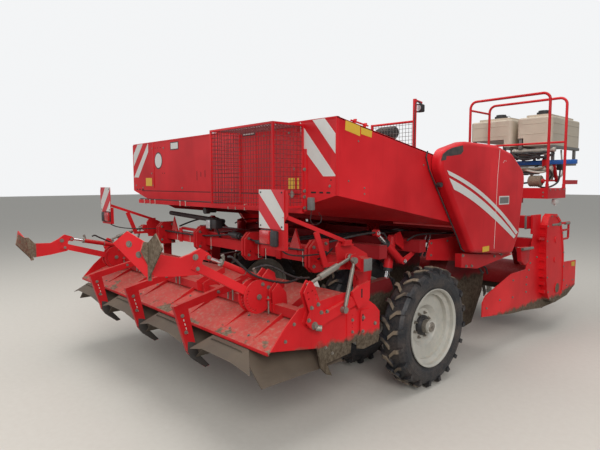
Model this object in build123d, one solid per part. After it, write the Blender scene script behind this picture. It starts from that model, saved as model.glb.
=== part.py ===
from build123d import *
import math
import os

os.makedirs("parts", exist_ok=True)

# Trailed four-row potato planter. Millimetres, +Z up, +Y towards the drawbar, +X the machine's right.
# Lengths along Y are measured from the wheel axle and moved by axle_y when a piece is written.

# overall reaches
front_reach = 4950.0
rear_reach = -2760.0
axle_y = -(front_reach + rear_reach) / 2
row_pitch = 900.0
seat = 0.3

# wheels
tyre_od = 1140.0
tyre_width = 236.0
tyre_carcass_r = 536.0
lug_count = 20
lug_thick = 34.0
rim_od = 737.0
rim_width = 222.0
rim_wall = 7.0
outer_wheel_x = 1694.0
inner_wheel_x = 870.0
hub_r = 62.0
axle_r = 38.0
axle_fit = 0.08
pin_fit = 0.08
axle_z = tyre_od / 2

# main frame
rail_x = 560.0
rail_w = 100.0
rail_z = 1300.0
rail_h = 120.0
rail_front = 3250.0
cross_half = 1540.0
toolbar_y = -1050.0
toolbar_half = 1860.0
toolbar_size = 100.0
toolbar_z = 1295.0
# the end plates stand in from the toolbar's ends, and the hood hangs outside them
end_x = toolbar_half - 200.0
end_plate = 16.0
hang_plate = 24.0
end_flange_top = 1446.0
guard_y = 1700.0
mast_x = 360.0
board_x = end_x - 102.0
board_y = -1753.0
board_size = 282.0
arm_x = 1290.0
arm_w = 80.0
arm_pivot_y = -450.0
arm_pivot_z = 905.0

# hopper
hopper_rear_y = -1304.0
hopper_front_y = 640.0
hopper_half = 1770.0
hopper_rear_top = 2412.0
hopper_rear_low = 1830.0
hopper_slope = 0.182
hopper_wall = 5.0
belly_drop = 150.0
belly_slope = 0.105
belly_half = 1180.0
hopper_hinge_y = 520.0
hopper_hinge_z = 1425.0
hopper_pin_r = 20.0
lift_x = 1400.0
lift_r = 38.0
cage_x0 = 560.0
cage_x1 = 1415.0
cage_depth = 318.0
cage_low = 1745.0
cage_top = 2383.0
cage_bar = 16.0

# side covers
cover_x = 1880.0
cover_depth = 100.0
cover_wall = 6.0
cover_round = 42.0
ledge_top = 1380.0
bunker_floor = 1420.0

# front power tiller
tiller_x = 1800.0
tiller_axis_y = 2750.0
tiller_axis_z = 520.0
tiller_drum_r = 85.0
tiller_blade_r = 275.0
tiller_hood_r = 330.0
tiller_stub_r = 40.0
case_out_x = 1880.0
case_rim = 8.0

# service platform and tanks
deck_x0 = 740.0
deck_x1 = 1835.0
deck_rear = 2430.0
deck_front = 3020.0
deck_low = 1722.0
deck_top = 1850.0
rail_tube_r = 17.0
rail_top_z = 3030.0
tank_y0 = deck_front + 100.0
tank_y1 = tank_y0 + 1100.0
tank_low = 2440.0
tank_high = 395.0
tank_step = 110.0

# ridging hood
hood_half = toolbar_half - 60.0
hood_lip_y = -1975.0
hood_lip_z = 800.0
hood_front_y = -1270.0
hood_front_z = 1060.0
hood_sheet = 6.0
hood_hinge_y = -905.0
hood_hinge_z = 800.0
hood_pin_r = 17.0
link_x = hood_half + 6.0

# furrow-dam paddles
dyker_x = 1.5 * row_pitch
dyker_pivot_y = -1750.0
dyker_pivot_z = 1075.0
dyker_pin_r = 15.0
left_drop = 12.0

# drawbar
eye_z = 600.0
eye_bore_r = 25.0
jack_y = 4300.0
jack_x = 190.0


def write(shape, name):
    solid = Pos(0, axle_y, 0) * shape
    export_step(solid, os.path.join("parts", name + ".step"))


def block(x0, x1, y0, y1, z0, z1):
    centre = Pos((x0 + x1) / 2, (y0 + y1) / 2, (z0 + z1) / 2)
    return centre * Box(x1 - x0, y1 - y0, z1 - z0)


def slab_x(points, x0, x1):
    face = make_face(Plane.YZ.offset(x0) * Polyline(*points, close=True))
    return extrude(face, amount=x1 - x0, dir=(1, 0, 0))


def slab_y(points, y0, y1):
    face = make_face(Plane.XZ.offset(-y0) * Polyline(*points, close=True))
    return extrude(face, amount=y1 - y0, dir=(0, 1, 0))


def slab_z(points, z0, z1):
    face = make_face(Plane.XY.offset(z0) * Polyline(*points, close=True))
    return extrude(face, amount=z1 - z0, dir=(0, 0, 1))


def rod(start, end, radius):
    along = Vector(*end) - Vector(*start)
    place = Plane(origin=start, z_dir=along)
    return place * Cylinder(radius, along.length, align=(Align.CENTER, Align.CENTER, Align.MIN))


def bar(start, end, width, height):
    along = Vector(*end) - Vector(*start)
    side = Vector(1, 0, 0)
    if abs(along.normalized().X) > 0.9:
        side = Vector(0, 1, 0)
    place = Plane(origin=start, x_dir=side, z_dir=along)
    return place * Box(width, height, along.length, align=(Align.CENTER, Align.CENTER, Align.MIN))


def plate_on(points, origin, x_dir, z_dir, thick):
    place = Plane(origin=origin, x_dir=x_dir, z_dir=z_dir)
    face = make_face(place * Polyline(*points, close=True))
    return extrude(face, amount=thick, dir=z_dir)


def pipe(points, radius, bend):
    path = FilletPolyline(*points, radius=bend)
    start = path @ 0
    section = Plane(origin=start, z_dir=path % 0) * Circle(radius)
    return sweep(section, path=path)


def mirror_x(shape):
    return mirror(shape, about=Plane.YZ)


# wheels: a ribbed drive tyre on a dished rim
def make_tyre(centre_x):
    half = tyre_width / 2
    bead = rim_od / 2 - 14
    outline = [
        (half - 31, bead), (half - 4, bead + 60), (half, bead + 110), (half - 12, tyre_carcass_r - 26),
        (half - 40, tyre_carcass_r - 4), (0, tyre_carcass_r + 4),
        (-half + 40, tyre_carcass_r - 4), (-half + 12, tyre_carcass_r - 26), (-half, bead + 110),
        (-half + 4, bead + 60), (-half + 31, bead),
    ]
    ring = make_face(Plane.XZ * Polyline(*outline, close=True))
    tyre = revolve(ring, axis=Axis.X, revolution_arc=360)
    step = 360.0 / lug_count
    lugs = []
    for side, phase in ((1, 0.0), (-1, 0.5)):
        points = [
            (-6 * side, -lug_thick / 2), (-6 * side, lug_thick / 2),
            (52 * side, 58 + lug_thick / 2), (half * side, 74 + lug_thick / 2),
            (half * side, 74 - lug_thick * 0.6), (52 * side, 58 - lug_thick / 2),
        ]
        base = tyre_carcass_r - 42
        lug = slab_z(points, base, tyre_od / 2 + 12)
        for index in range(lug_count):
            lugs.append(Rot((index + phase) * step, 0, 0) * lug)
    crown = [
        (half, tyre_carcass_r - 44), (half, tyre_od / 2 - 26), (half - 34, tyre_od / 2 - 5), (0, tyre_od / 2),
        (-half + 34, tyre_od / 2 - 5), (-half, tyre_od / 2 - 26), (-half, tyre_carcass_r - 44),
    ]
    band = revolve(make_face(Plane.XZ * Polyline(*crown, close=True)), axis=Axis.X, revolution_arc=360)
    tyre = tyre.fuse(*[band & lug for lug in lugs])
    return Pos(centre_x, 0, axle_z) * tyre


def make_rim(centre_x, side):
    half = rim_width / 2
    edge = rim_od / 2
    seat_r = edge - 14 - seat
    outer = [
        (half, edge), (half - 12, edge), (half - 22 - seat, seat_r), (half - 52, seat_r),
        (half - 66, seat_r - 40),
        (-half + 66, seat_r - 40), (-half + 52, seat_r), (-half + 22 + seat, seat_r), (-half + 12, edge),
        (-half, edge),
    ]
    disc_x = 10.0
    inner = [
        (-half, edge - rim_wall), (-half + 14, seat_r - rim_wall), (-half + 52, seat_r - rim_wall),
        (-half + 66, seat_r - 40 - rim_wall), (disc_x - 14, seat_r - 40 - rim_wall),
        (disc_x - 22, 210), (disc_x - 60, 170), (disc_x - 60, axle_r + axle_fit),
        (disc_x + 62, axle_r + axle_fit), (disc_x + 62, hub_r), (disc_x - 50, hub_r),
        (disc_x - 50, 160), (disc_x - 12, 200), (disc_x - 4, seat_r - 40 - rim_wall),
        (half - 66, seat_r - 40 - rim_wall),
        (half - 52, seat_r - rim_wall), (half - 14, seat_r - rim_wall), (half, edge - rim_wall),
    ]
    section = [(side * a, b) for a, b in outer + inner]
    rim = revolve(make_face(Plane.XZ * Polyline(*section, close=True)), axis=Axis.X, revolution_arc=360)
    return Pos(centre_x, 0, axle_z) * rim


wheels = [
    # name, x, side
    ("outer_right", outer_wheel_x, 1),
    ("outer_left", -outer_wheel_x, -1),
    ("inner_right", inner_wheel_x, 1),
    ("inner_left", -inner_wheel_x, -1),
]
base_tyre = make_tyre(0.0)
for name, centre_x, side in wheels:
    write(Pos(centre_x, 0, 0) * base_tyre, "tyre_" + name)
    write(make_rim(centre_x, side), "rim_" + name)


# main frame: two rails, cross beams, hangers for the wheel arms
rail_low = rail_z - rail_h / 2
rail_high = rail_z + rail_h / 2
frame = block(
    rail_x - rail_w / 2, rail_x + rail_w / 2, toolbar_y + toolbar_size / 2 + seat, rail_front, rail_low,
    rail_high,
)
frame += mirror_x(frame)
cross_beams = [
    # y, width
    (arm_pivot_y, 110.0),
    (170.0, 110.0),
    (920.0, 100.0),
    (1560.0, 100.0),
    (2080.0, 120.0),
    (3190.0, 120.0),
]
for beam_y, beam_w in cross_beams:
    half = cross_half if beam_y < 2500 else rail_x
    frame += block(-half, half, beam_y - beam_w / 2, beam_y + beam_w / 2, rail_low, rail_high)
hanger = [
    (arm_pivot_y - 90, rail_low - seat), (arm_pivot_y - 50, arm_pivot_z - 55),
    (arm_pivot_y + 50, arm_pivot_z - 55),
    (arm_pivot_y + 90, rail_low - seat),
]
write(frame, "main_frame")

# brackets seated on the frame: wheel arm hangers, cylinder lugs, cover posts, hopper pivots, platform stands
bracket_foot = rail_high + seat
post_x0 = cross_half - 100
post_x1 = cross_half - 20
post_rows = [
    # rear, front of the post, rear and front of its arm
    (870.0, 970.0, 880.0, 960.0),
    (1500.0, 1620.0, 1500.0, 1560.0),
]
lug_points = [
    (115 - seat, 1250), (-20, 1330), (-20, 1420), (60, 1440), (115 - seat, 1350),
]
pivot_points = [
    (hopper_hinge_y - 60, bracket_foot), (hopper_hinge_y - 36, hopper_hinge_z + 30),
    (hopper_hinge_y + 36, hopper_hinge_z + 30), (hopper_hinge_y + 60, bracket_foot),
]
brackets = Part()
for plate_x in (arm_x - arm_w / 2 - 14 - seat, arm_x + arm_w / 2 + seat):
    brackets += slab_x(hanger, plate_x, plate_x + 14)
brackets += slab_x(lug_points, arm_x + 50, arm_x + 64)
for post_y0, post_y1, reach_y0, reach_y1 in post_rows:
    post = block(post_x0, post_x1, post_y0, post_y1, bracket_foot, bunker_floor - seat)
    brackets += post + block(post_x0, cover_x - 40, reach_y0, reach_y1, ledge_top + seat, bunker_floor - seat)
pivot = slab_x(pivot_points, rail_x + 14, rail_x + 44)
pivot += rod(
    (rail_x + 30, hopper_hinge_y, hopper_hinge_z), (672, hopper_hinge_y, hopper_hinge_z), hopper_pin_r,
)
brackets += pivot
brackets += block(1300, 1380, 2040, 2120, bracket_foot, deck_low - seat)
sill_points = [(504, 1215), (1400, 1118), (1676, 1101), (836, 1027), (510, 1076)]
brackets += slab_x(sill_points, 1700, 1770)
brackets += block(1480, 1710, 880, 960, 1120, rail_low - seat)
side_panel = [(226, 1159), (283, 1354), (864, 1354), (864, 1239), (914, 1130), (914, 1073)]
brackets += slab_x(side_panel, cross_half + seat, cross_half + 12)
brackets += slab_x(
    [(120, rail_low - seat), (220, rail_low - seat), (40, 1150), (0, 1170), (0, 1200)], lift_x + lift_r + 1,
    lift_x + lift_r + 13,
)
write(brackets + mirror_x(brackets), "frame_brackets")

# wheel arms: a plate arm each side with the stub axles of its two wheels
arm_points = [
    (arm_pivot_y - 62, arm_pivot_z + 20), (arm_pivot_y - 30, arm_pivot_z + 62), (-140, 985), (-80, 985),
    (-40, 930), (95, axle_z + 20), (70, axle_z - 70), (-60, axle_z - 80),
    (arm_pivot_y - 20, arm_pivot_z - 62),
]
arm = slab_x(arm_points, arm_x - arm_w / 2, arm_x + arm_w / 2)
arm += rod((inner_wheel_x - 62, 0, axle_z), (outer_wheel_x + 60, 0, axle_z), axle_r)
arm += rod((inner_wheel_x + 80, 0, axle_z), (outer_wheel_x - 80, 0, axle_z), 66)
write(arm, "wheel_arm_right")
write(mirror_x(arm), "wheel_arm_left")

# height cylinders between frame and wheel arms
barrel = rod((arm_x, -60, 1060), (arm_x, 5, 1385), 46)
barrel += rod((arm_x, -86, 930), (arm_x, -58, 1070), 22)
barrel += block(arm_x - 30, arm_x + 50 - seat, -15, 60, 1345, 1405)
barrel = barrel - slab_x(arm_points, arm_x - 200, arm_x + 200)
lift = rod((lift_x, -5, 1166), (lift_x, -250, 1358), lift_r)
lift += rod((lift_x, -240, 1350), (lift_x, -370, 1452), 20)
lift += Pos(lift_x, 5, 1160) * Rot(0, 90, 0) * Cylinder(34, 2 * (lift_r + 1 - seat))
lift += Pos(lift_x, -382, 1461) * Rot(0, 90, 0) * Cylinder(32, 50)
for side, name in ((1, "right"), (-1, "left")):
    pair = barrel + lift
    write(pair if side > 0 else mirror_x(pair), "height_cylinder_" + name)

# planting units below the frame, one for each row
unit_half = 105.0
unit_points = [
    (720, 640), (840, 420), (1000, 330), (1180, 270), (1330, 290), (1560, 640), (1600, 900),
    (1600, rail_low - seat),
    (880, rail_low - seat), (740, 1000),
]
for number, row in enumerate((-1.5, -0.5, 0.5, 1.5), start=1):
    centre = row * row_pitch
    unit = slab_x(unit_points, centre - unit_half, centre + unit_half)
    unit += block(centre - 150, centre + 150, 1010, 1480, 980, rail_low - seat)
    write(unit, "planting_unit_" + str(number))


# tipping hopper: sheet walls with a tapered belly
def hopper_line(y, height):
    return height - hopper_slope * (y - hopper_rear_y)


def belly_line(y):
    return hopper_rear_low - belly_drop - belly_slope * (y - hopper_rear_y)


def hopper_solid(inset, cap):
    rear = hopper_rear_y + inset
    front = hopper_front_y - inset
    half_x = hopper_half - inset
    top = hopper_rear_top + cap
    walls = [
        (rear, hopper_line(rear, top)), (front, hopper_line(front, top)),
        (front, hopper_line(front, hopper_rear_low) + inset), (rear, belly_line(rear) + inset),
    ]
    tub = slab_x(walls, -half_x, half_x)
    run = Vector(0, 1, -hopper_slope).normalized()
    side_run = Vector(belly_half - hopper_half, 0, -belly_drop).normalized()
    for side in (1, -1):
        corner = Vector(side * (half_x + 2), rear - 40, hopper_line(rear - 40, hopper_rear_low) + 2)
        down = Vector(side * side_run.X, 0, side_run.Z)
        face = Plane(origin=corner, x_dir=run, z_dir=run.cross(down))
        outward = 1 if face.z_dir.X * side > 0 else -1
        cutter = face * Pos(1200, 0, outward * 400) * Box(2600, 2400, 800)
        low_cut = cutter & block(-2400, 2400, -2400, 2400, 600, 1900)
        tub = tub - low_cut
    return tub


hopper = hopper_solid(0.0, 0.0) - hopper_solid(hopper_wall, 60.0)
for side in (1, -1):
    ear = slab_x([
        (hopper_hinge_y - 190, belly_line(hopper_hinge_y - 190) + 3),
        (hopper_hinge_y - 45, hopper_hinge_z - 40),
        (hopper_hinge_y + 40, hopper_hinge_z - 40), (hopper_front_y - 2, 1490),
    ], 640, 665)
    ear = ear - rod(
        (600, hopper_hinge_y, hopper_hinge_z), (700, hopper_hinge_y, hopper_hinge_z), hopper_pin_r + pin_fit,
    )
    hopper += ear if side > 0 else mirror_x(ear)
channel_low = hopper_rear_low - belly_drop + 4
channel_high = cage_low - cage_bar - 1
hopper += block(-1590, cage_x1, hopper_rear_y - 26, hopper_rear_y + 1, channel_low, channel_high)
hopper = hopper - block(
    -1600, cage_x1 + 10, hopper_rear_y - 18, hopper_rear_y - 1, channel_low + 6, channel_high - 6,
)
write(hopper, "hopper")

# wire guard cage on the hopper's rear wall
cage_y0 = hopper_rear_y - cage_depth
cage = Part()
for cage_x in (cage_x0, cage_x1):
    for z in (cage_low, cage_top):
        cage += block(cage_x - cage_bar, cage_x, cage_y0, hopper_rear_y - seat, z - cage_bar, z)
    cage += block(cage_x - cage_bar, cage_x, cage_y0, cage_y0 + cage_bar, cage_low - cage_bar, cage_top)
    cage += block(
        cage_x - cage_bar, cage_x, hopper_rear_y - cage_bar - seat, hopper_rear_y - seat,
        cage_low - cage_bar, cage_top,
    )
for z in (cage_low, cage_top):
    cage += block(cage_x0 - cage_bar, cage_x1, cage_y0, cage_y0 + cage_bar, z - cage_bar, z)
cage += block(cage_x1, cage_x1 + 34, hopper_rear_y - 8 - seat, hopper_rear_y - seat, 1700, 2190)
write(cage, "hopper_cage")

# side covers: rounded trays over the drive sides
cover_points = [
    (-180, 2182), (341, 2314), (982, 2309), (1332, 2241), (1676, 2031), (1635, 1773), (1565, 1347),
    (1418, 1134),
    (531, 1233),
]
cover_rounds = [150.0, 420.0, 300.0, 160.0, 160.0, 60.0, 60.0, 70.0, 90.0]


def cover_face(x, inset):
    face = make_face(Plane.YZ.offset(x) * Polyline(*cover_points, close=True))
    for point, radius in zip(cover_points, cover_rounds):
        corner = face.vertices().sort_by_distance(Vector(x, *point))[0]
        face = fillet(corner, radius)
    if inset:
        face = offset(face, amount=-inset)
    return face


def cover_tray(x, inset, depth, round_r):
    tray = extrude(cover_face(x, inset), amount=depth, dir=(1, 0, 0))
    return fillet(tray.faces().sort_by(Axis.X)[-1].edges(), round_r)


cover = cover_tray(cover_x - cover_depth, 0, cover_depth, cover_round)
cover = cover - cover_tray(
    cover_x - cover_depth - 1, cover_wall, cover_depth - cover_wall + 1, cover_round - cover_wall,
)
for ledge_y0, ledge_y1 in ((860, 1000), (1480, 1560)):
    cover += block(cover_x - cover_depth, cover_x - cover_wall, ledge_y0, ledge_y1, ledge_top - 12, ledge_top)
write(cover, "side_cover_right")
write(mirror_x(cover), "side_cover_left")

# seed bunker between the side covers, fed by the hopper
bunker_out = [
    (720, bunker_floor), (720, bunker_floor + 30), (900, bunker_floor + 30), (940, 1980), (960, 1980),
    (1640, 1900),
    (1640, bunker_floor),
]
bunker_in = [
    (905, bunker_floor + 6), (946, 1990), (1634, 1990), (1634, bunker_floor + 6),
]
bunker = slab_x(bunker_out, -1750, 1750) - slab_x(bunker_in, -1744, 1744)
write(bunker, "seed_bunker")

# front power tiller
beam_y = 2215.0
beam_low = rail_high + seat
beam_high = 1512.0
tiller_beam = block(-1776, 1776, beam_y - 80, beam_y + 80, beam_low, beam_high)
low_half = tiller_x - 10 - seat
tiller_beam += block(-low_half, low_half, beam_y - 65, beam_y + 35, 1120, rail_low - seat)
write(tiller_beam, "tiller_beam")
hood_out = Pos(0, tiller_axis_y, tiller_axis_z) * Rot(0, 90, 0) * Cylinder(
    tiller_hood_r + 8, 2 * (tiller_x - 12),
)
hood_in = Pos(0, tiller_axis_y, tiller_axis_z) * Rot(0, 90, 0) * Cylinder(tiller_hood_r, 2 * tiller_x)
tiller_hood = hood_out - hood_in
tiller_hood = tiller_hood - block(
    -tiller_x, tiller_x, tiller_axis_y - 500, tiller_axis_y + 500, 0, tiller_axis_z + 60,
)
for post_x in (-1400, -750, 750, 1400):
    tiller_hood += block(post_x - 40, post_x + 40, beam_y + 80 + seat, beam_y + 100, 1250, 1500)
    tiller_hood += bar(
        (post_x, beam_y + 112, 1400), (post_x, tiller_axis_y - 100, tiller_axis_z + 310), 70, 60,
    )
tiller_hood = tiller_hood - block(-tiller_x, tiller_x, beam_y - 100, beam_y + 80 + seat, 1000, 1600)
tiller_hood = tiller_hood - (
    Pos(0, tiller_axis_y, tiller_axis_z) * Rot(0, 90, 0) * Cylinder(tiller_hood_r, 2 * tiller_x)
)
write(tiller_hood, "tiller_hood")
side_points = [
    (910, 500), (910, 650), (980, 720), (1580, 880), (1960, 885), (2060, 1060), (2160, 1345), (2860, 1345),
    (3060, 850),
    (3620, 822), (3620, 465), (3330, 360), (2933, 330), (2450, 330), (1922, 390), (1640, 407),
]
side_plate = slab_x(side_points, tiller_x - 10, tiller_x)
case_points = [
    (2330, 1200), (2345, 1400), (2400, 1500), (2480, 1535), (2640, 1525), (2776, 1442), (2862, 1280),
    (2928, 1011),
    (2965, 633), (2945, 480), (2860, 400), (2640, 385), (2500, 430), (2420, 540), (2375, 740), (2345, 1000),
]
case = slab_x(case_points, tiller_x - seat - 5, case_out_x - case_rim)
outline = make_face(Plane.YZ.offset(case_out_x - case_rim - 1) * Polyline(*case_points, close=True))
ring = outline - offset(outline, amount=-34)
case += extrude(ring, amount=case_rim + 1, dir=(1, 0, 0))
case_bosses = [
    # y, z, radius
    (2656, 1197, 40), (2652, 935, 36), (2740, 560, 70),
]
for boss_y, boss_z, boss_r in case_bosses:
    boss = Pos((tiller_x + case_out_x) / 2, boss_y, boss_z) * Rot(0, 90, 0) * Cylinder(
        boss_r, case_out_x - tiller_x,
    )
    case += boss
case_ribs = 9
for index in range(case_ribs):
    share = index / (case_ribs - 1)
    rib_z = 1380 - share * 820
    rib_y = 2346 + 40 * share * share
    case += block(tiller_x - 5, case_out_x - 14, rib_y - 24, rib_y + 12, rib_z - 20, rib_z + 20)
side_right = side_plate + case
tiller_bore = Pos(tiller_x, tiller_axis_y, tiller_axis_z) * Rot(0, 90, 0) * Cylinder(
    tiller_stub_r + pin_fit, 60,
)
clamp = block(1776 + seat, tiller_x, beam_y - 110, beam_y + 130, 1300, 1530)
side_right += clamp
side_right = side_right - tiller_bore
write(side_right, "tiller_side_right")
side_left = mirror_x(side_plate) + mirror_x(clamp)
side_left = side_left - (
    Pos(-tiller_x, tiller_axis_y, tiller_axis_z) * Rot(0, 90, 0) * Cylinder(tiller_stub_r + pin_fit, 60)
)
write(side_left, "tiller_side_left")
rotor = rod(
    (-tiller_x + 22, tiller_axis_y, tiller_axis_z), (tiller_x - 22, tiller_axis_y, tiller_axis_z),
    tiller_drum_r,
)
stub = rod(
    (-tiller_x - 5, tiller_axis_y, tiller_axis_z), (tiller_x + 5, tiller_axis_y, tiller_axis_z),
    tiller_stub_r,
)
rotor += stub
blade_rows = 13
blade_span = 2 * (tiller_x - 120)
blade_points = [
    (-35, 60), (35, 60), (45, tiller_blade_r - 90), (80, tiller_blade_r - 12), (10, tiller_blade_r - 12),
    (-20, 180),
]
blade = slab_x(blade_points, -6, 6)
for index in range(blade_rows):
    blade_x = -blade_span / 2 + index * blade_span / (blade_rows - 1)
    for quarter in range(3):
        turn = quarter * 120 + index * 37
        rotor += Pos(blade_x, tiller_axis_y, tiller_axis_z) * Rot(turn, 0, 0) * blade
write(rotor, "tiller_rotor")

# service platform
deck = block(deck_x0, deck_x1, deck_rear, deck_front, deck_low, deck_low + 8)
deck += block(deck_x0, deck_x0 + 8, deck_rear, deck_front, deck_low, deck_top)
deck += block(deck_x1 - 8, deck_x1, deck_rear, deck_front, deck_low, deck_top)
deck += block(deck_x0, deck_x1, deck_rear, deck_rear + 8, deck_low, deck_top)
deck += block(deck_x0, deck_x1, deck_front - 8, deck_front, deck_low, deck_top)
deck += block(deck_x0, deck_x1, deck_rear + 4, deck_front - 4, deck_top - 40, deck_top - 34)
leg = block(rail_x - 40, rail_x + 40, 2500, 2580, rail_high + seat, deck_low - 20)
leg += block(rail_x - 40, 1300, 2500, 2580, deck_low - 80, deck_low - seat)
leg += block(rail_x - 40, rail_x + 40, 2900, 2980, rail_high + seat, deck_low - 20)
leg += block(rail_x - 40, 1300, 2900, 2980, deck_low - 80, deck_low - seat)
leg += block(rail_x - 40, rail_x + 40, 2500, 2980, deck_low - 80, deck_low - 20)
write(deck, "platform")
write(leg, "platform_bracket")
rails = Part()
for loop_y in (deck_rear + 20, deck_front - 20):
    loop = [
        (deck_x0 + 20, loop_y, deck_top + seat), (deck_x0 + 20, loop_y, rail_top_z),
        (deck_x1 - 20, loop_y, rail_top_z), (deck_x1 - 20, loop_y, deck_top + seat),
    ]
    rails += pipe(loop, rail_tube_r, 90)
rails += rod(
    (deck_x0 + 20, deck_rear + 20, rail_top_z - 110), (deck_x0 + 20, deck_front - 20, rail_top_z - 110), 14,
)
rails += rod((deck_x0 + 20, deck_front - 20, 2455), (deck_x1 - 20, deck_front - 20, 2455), 14)
rails += block(deck_x1 - 38, deck_x1, deck_front - 20, 3440, 1900, 1956)
write(rails, "platform_rails")

# liquid tanks on their cradle
cradle = block(380, 1600, tank_y0 - 20, tank_y0 + 60, tank_low - 160, tank_low - 60)
cradle += block(380, 1600, tank_y1 - 60, tank_y1 + 20, tank_low - 160, tank_low - 60)
cradle_beams = [
    # x, top
    (450, tank_low + tank_step - seat),
    (985, tank_low - seat),
    (1160, tank_low + tank_step - seat),
    (1560, tank_low - seat),
]
for beam_x, beam_top in cradle_beams:
    cradle += block(beam_x - 30, beam_x + 30, tank_y0 - 20, tank_y1 + 20, tank_low - 60, beam_top)
cradle += block(420, 500, tank_y0 - 20, tank_y0 + 60, rail_high + seat, tank_low - 150)
cradle += block(420, 600, tank_y0 - 20, tank_y0 + 60, rail_high + seat, rail_high + 80)
cradle += bar((460, tank_y0 + 40, 1500), (460, tank_y1 - 20, tank_low - 110), 60, 60)
write(cradle, "tank_cradle")
tanks = [
    # name, left x, right x, left end of the sump
    ("tank_inner", 400.0, 1040.0, 930.0),
    ("tank_outer", 1110.0, 1585.0, 1210.0),
]
for name, x0, x1, sump_x in tanks:
    body = block(x0, x1, tank_y0, tank_y1, tank_low, tank_low + tank_high)
    body = fillet(body.edges().filter_by(Axis.Z), 60)
    body = fillet(body.faces().sort_by(Axis.Z)[-1].edges(), 26)
    crown = block(
        x0 + 90, x1 - 60, tank_y0 + 70, tank_y1 - 90, tank_low + tank_high - 5, tank_low + tank_high + 36,
    )
    body += fillet(crown.edges().filter_by(Axis.Z), 50)
    body = body - block(x0 - 1, sump_x, tank_y0 - 1, tank_y1 + 1, tank_low - 1, tank_low + tank_step)
    lid_z = tank_low + tank_high + 36
    body += Pos((x0 + x1) / 2, tank_y0 + 330, lid_z + 16) * Cylinder(88, 36)
    body += Pos((x0 + x1) / 2, tank_y0 + 330, lid_z + 38) * Cylinder(70, 20)
    write(body, name)

# front guard of the hopper walkway with a lamp mast
guard = block(
    mast_x - 45, rail_x - rail_w / 2 - seat, guard_y - 40, guard_y + 40, rail_low + 20, rail_high - 20,
)
guard += block(mast_x - 30, mast_x + 30, guard_y - 30, guard_y + 30, rail_low + 20, 1500)
guard += bar((mast_x, guard_y, 1490), (mast_x, guard_y, 3047), 36, 36)
guard += rod((mast_x, guard_y, 2750), (mast_x - 730, guard_y, 2750), 16)
guard += bar((mast_x - 730, guard_y, 2320), (mast_x - 730, guard_y, 2765), 30, 30)
guard += bar((mast_x - 730, guard_y, 2335), (mast_x, guard_y, 2335), 30, 30)
guard += bar((mast_x, guard_y, 3030), (mast_x, guard_y + 160, 3012), 24, 24)
write(guard, "lamp_mast")

# rear toolbar
half_bar = toolbar_size / 2
toolbar = block(
    -toolbar_half, toolbar_half, toolbar_y - half_bar, toolbar_y + half_bar, toolbar_z - half_bar,
    toolbar_z + half_bar,
)
ear_points = [
    (toolbar_y + 60, 1180), (toolbar_y - 110, 1180), (toolbar_y - 160, 1230), (toolbar_y - 160, 1390),
    (toolbar_y - 100, 1450), (toolbar_y + 60, 1450),
]
for share in (-1.5, -0.5, 0.5, 1.5):
    ear_x = share * row_pitch
    toolbar += slab_x(ear_points, ear_x - 34, ear_x - 10)
    toolbar += slab_x(ear_points, ear_x + 10, ear_x + 34)
end_points = [
    (toolbar_y - 109, 1487), (toolbar_y - 6, 1448), (toolbar_y + 214, 1341), (toolbar_y + 214, 1300),
    (toolbar_y + 23, 1235), (toolbar_y - 133, 1250), (toolbar_y - 153, 1430),
]
hinge_points = [
    (toolbar_y + 20, 1300), (hood_hinge_y + 50, 1300), (hood_hinge_y + 45, hood_hinge_z - 45),
    (hood_hinge_y - 45, hood_hinge_z - 45), (hood_hinge_y - 60, 1140), (toolbar_y + 20, 1230),
]
link_ear = [
    (toolbar_y - 48, 1250), (toolbar_y - 48, 1344), (-1160, 1390), (-1205, 1385), (-1215, 1350),
    (-1190, 1325),
]
for side in (1, -1):
    end = slab_x(end_points, end_x, end_x + end_plate)
    end += slab_x(link_ear, link_x - 32, link_x - 22) + slab_x(link_ear, link_x + 22, link_x + 32)
    end += block(end_x, end_x + 60, toolbar_y - 109, toolbar_y - 6, end_flange_top - 10, end_flange_top)
    hang = slab_x(hinge_points, end_x + end_plate, end_x + end_plate + hang_plate)
    hang = hang + block(end_x, end_x + end_plate + hang_plate, toolbar_y, hood_hinge_y + 45, 1262, 1330)
    pin = rod((end_x + 30, hood_hinge_y, hood_hinge_z), (hood_half, hood_hinge_y, hood_hinge_z), hood_pin_r)
    pair = end + hang + pin
    toolbar += pair if side > 0 else mirror_x(pair)
write(toolbar, "toolbar")

# warning boards on their arms
for side, name in ((1, "warning_board_right"), (-1, "warning_board_left")):
    centre = side * board_x
    board = block(
        centre - board_size / 2 - 1, centre + board_size / 2 + 1, board_y - 3, board_y + 3, 1597,
        1597 + board_size,
    )
    lamp_x0, lamp_x1 = sorted((side * (board_x - 120), side * (board_x + 130)))
    board += block(lamp_x0, lamp_x1, board_y + 3, board_y + 43, 1450, 1640)
    arm_at = side * (end_x + 30)
    board += bar((arm_at, board_y, 1697), (arm_at, toolbar_y - 70, 1468), 12, 30)
    board += bar((arm_at, toolbar_y - 390, 1565), (arm_at, toolbar_y - 290, 1306), 12, 48)
    board += block(arm_at - 6, arm_at + 6, toolbar_y - 310, toolbar_y - half_bar - seat, 1288, 1318)
    foot_x0, foot_x1 = sorted((arm_at - side * 6, arm_at + side * 26))
    board += block(foot_x0, foot_x1, toolbar_y - 100, toolbar_y - 20, end_flange_top + seat, 1478)
    write(board, name)


# ridging hood: sloping sheet with edge strips and a cross tube
def hood_z(y):
    share = (y - hood_lip_y) / (hood_front_y - hood_lip_y)
    return hood_lip_z + share * (hood_front_z - hood_lip_z)


def sheet_under(y):
    rise = (hood_front_z - hood_sheet - hood_lip_z + 8) / (hood_front_y - hood_lip_y - 6)
    return hood_lip_z - 8 + rise * (y - hood_lip_y - 6)


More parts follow.
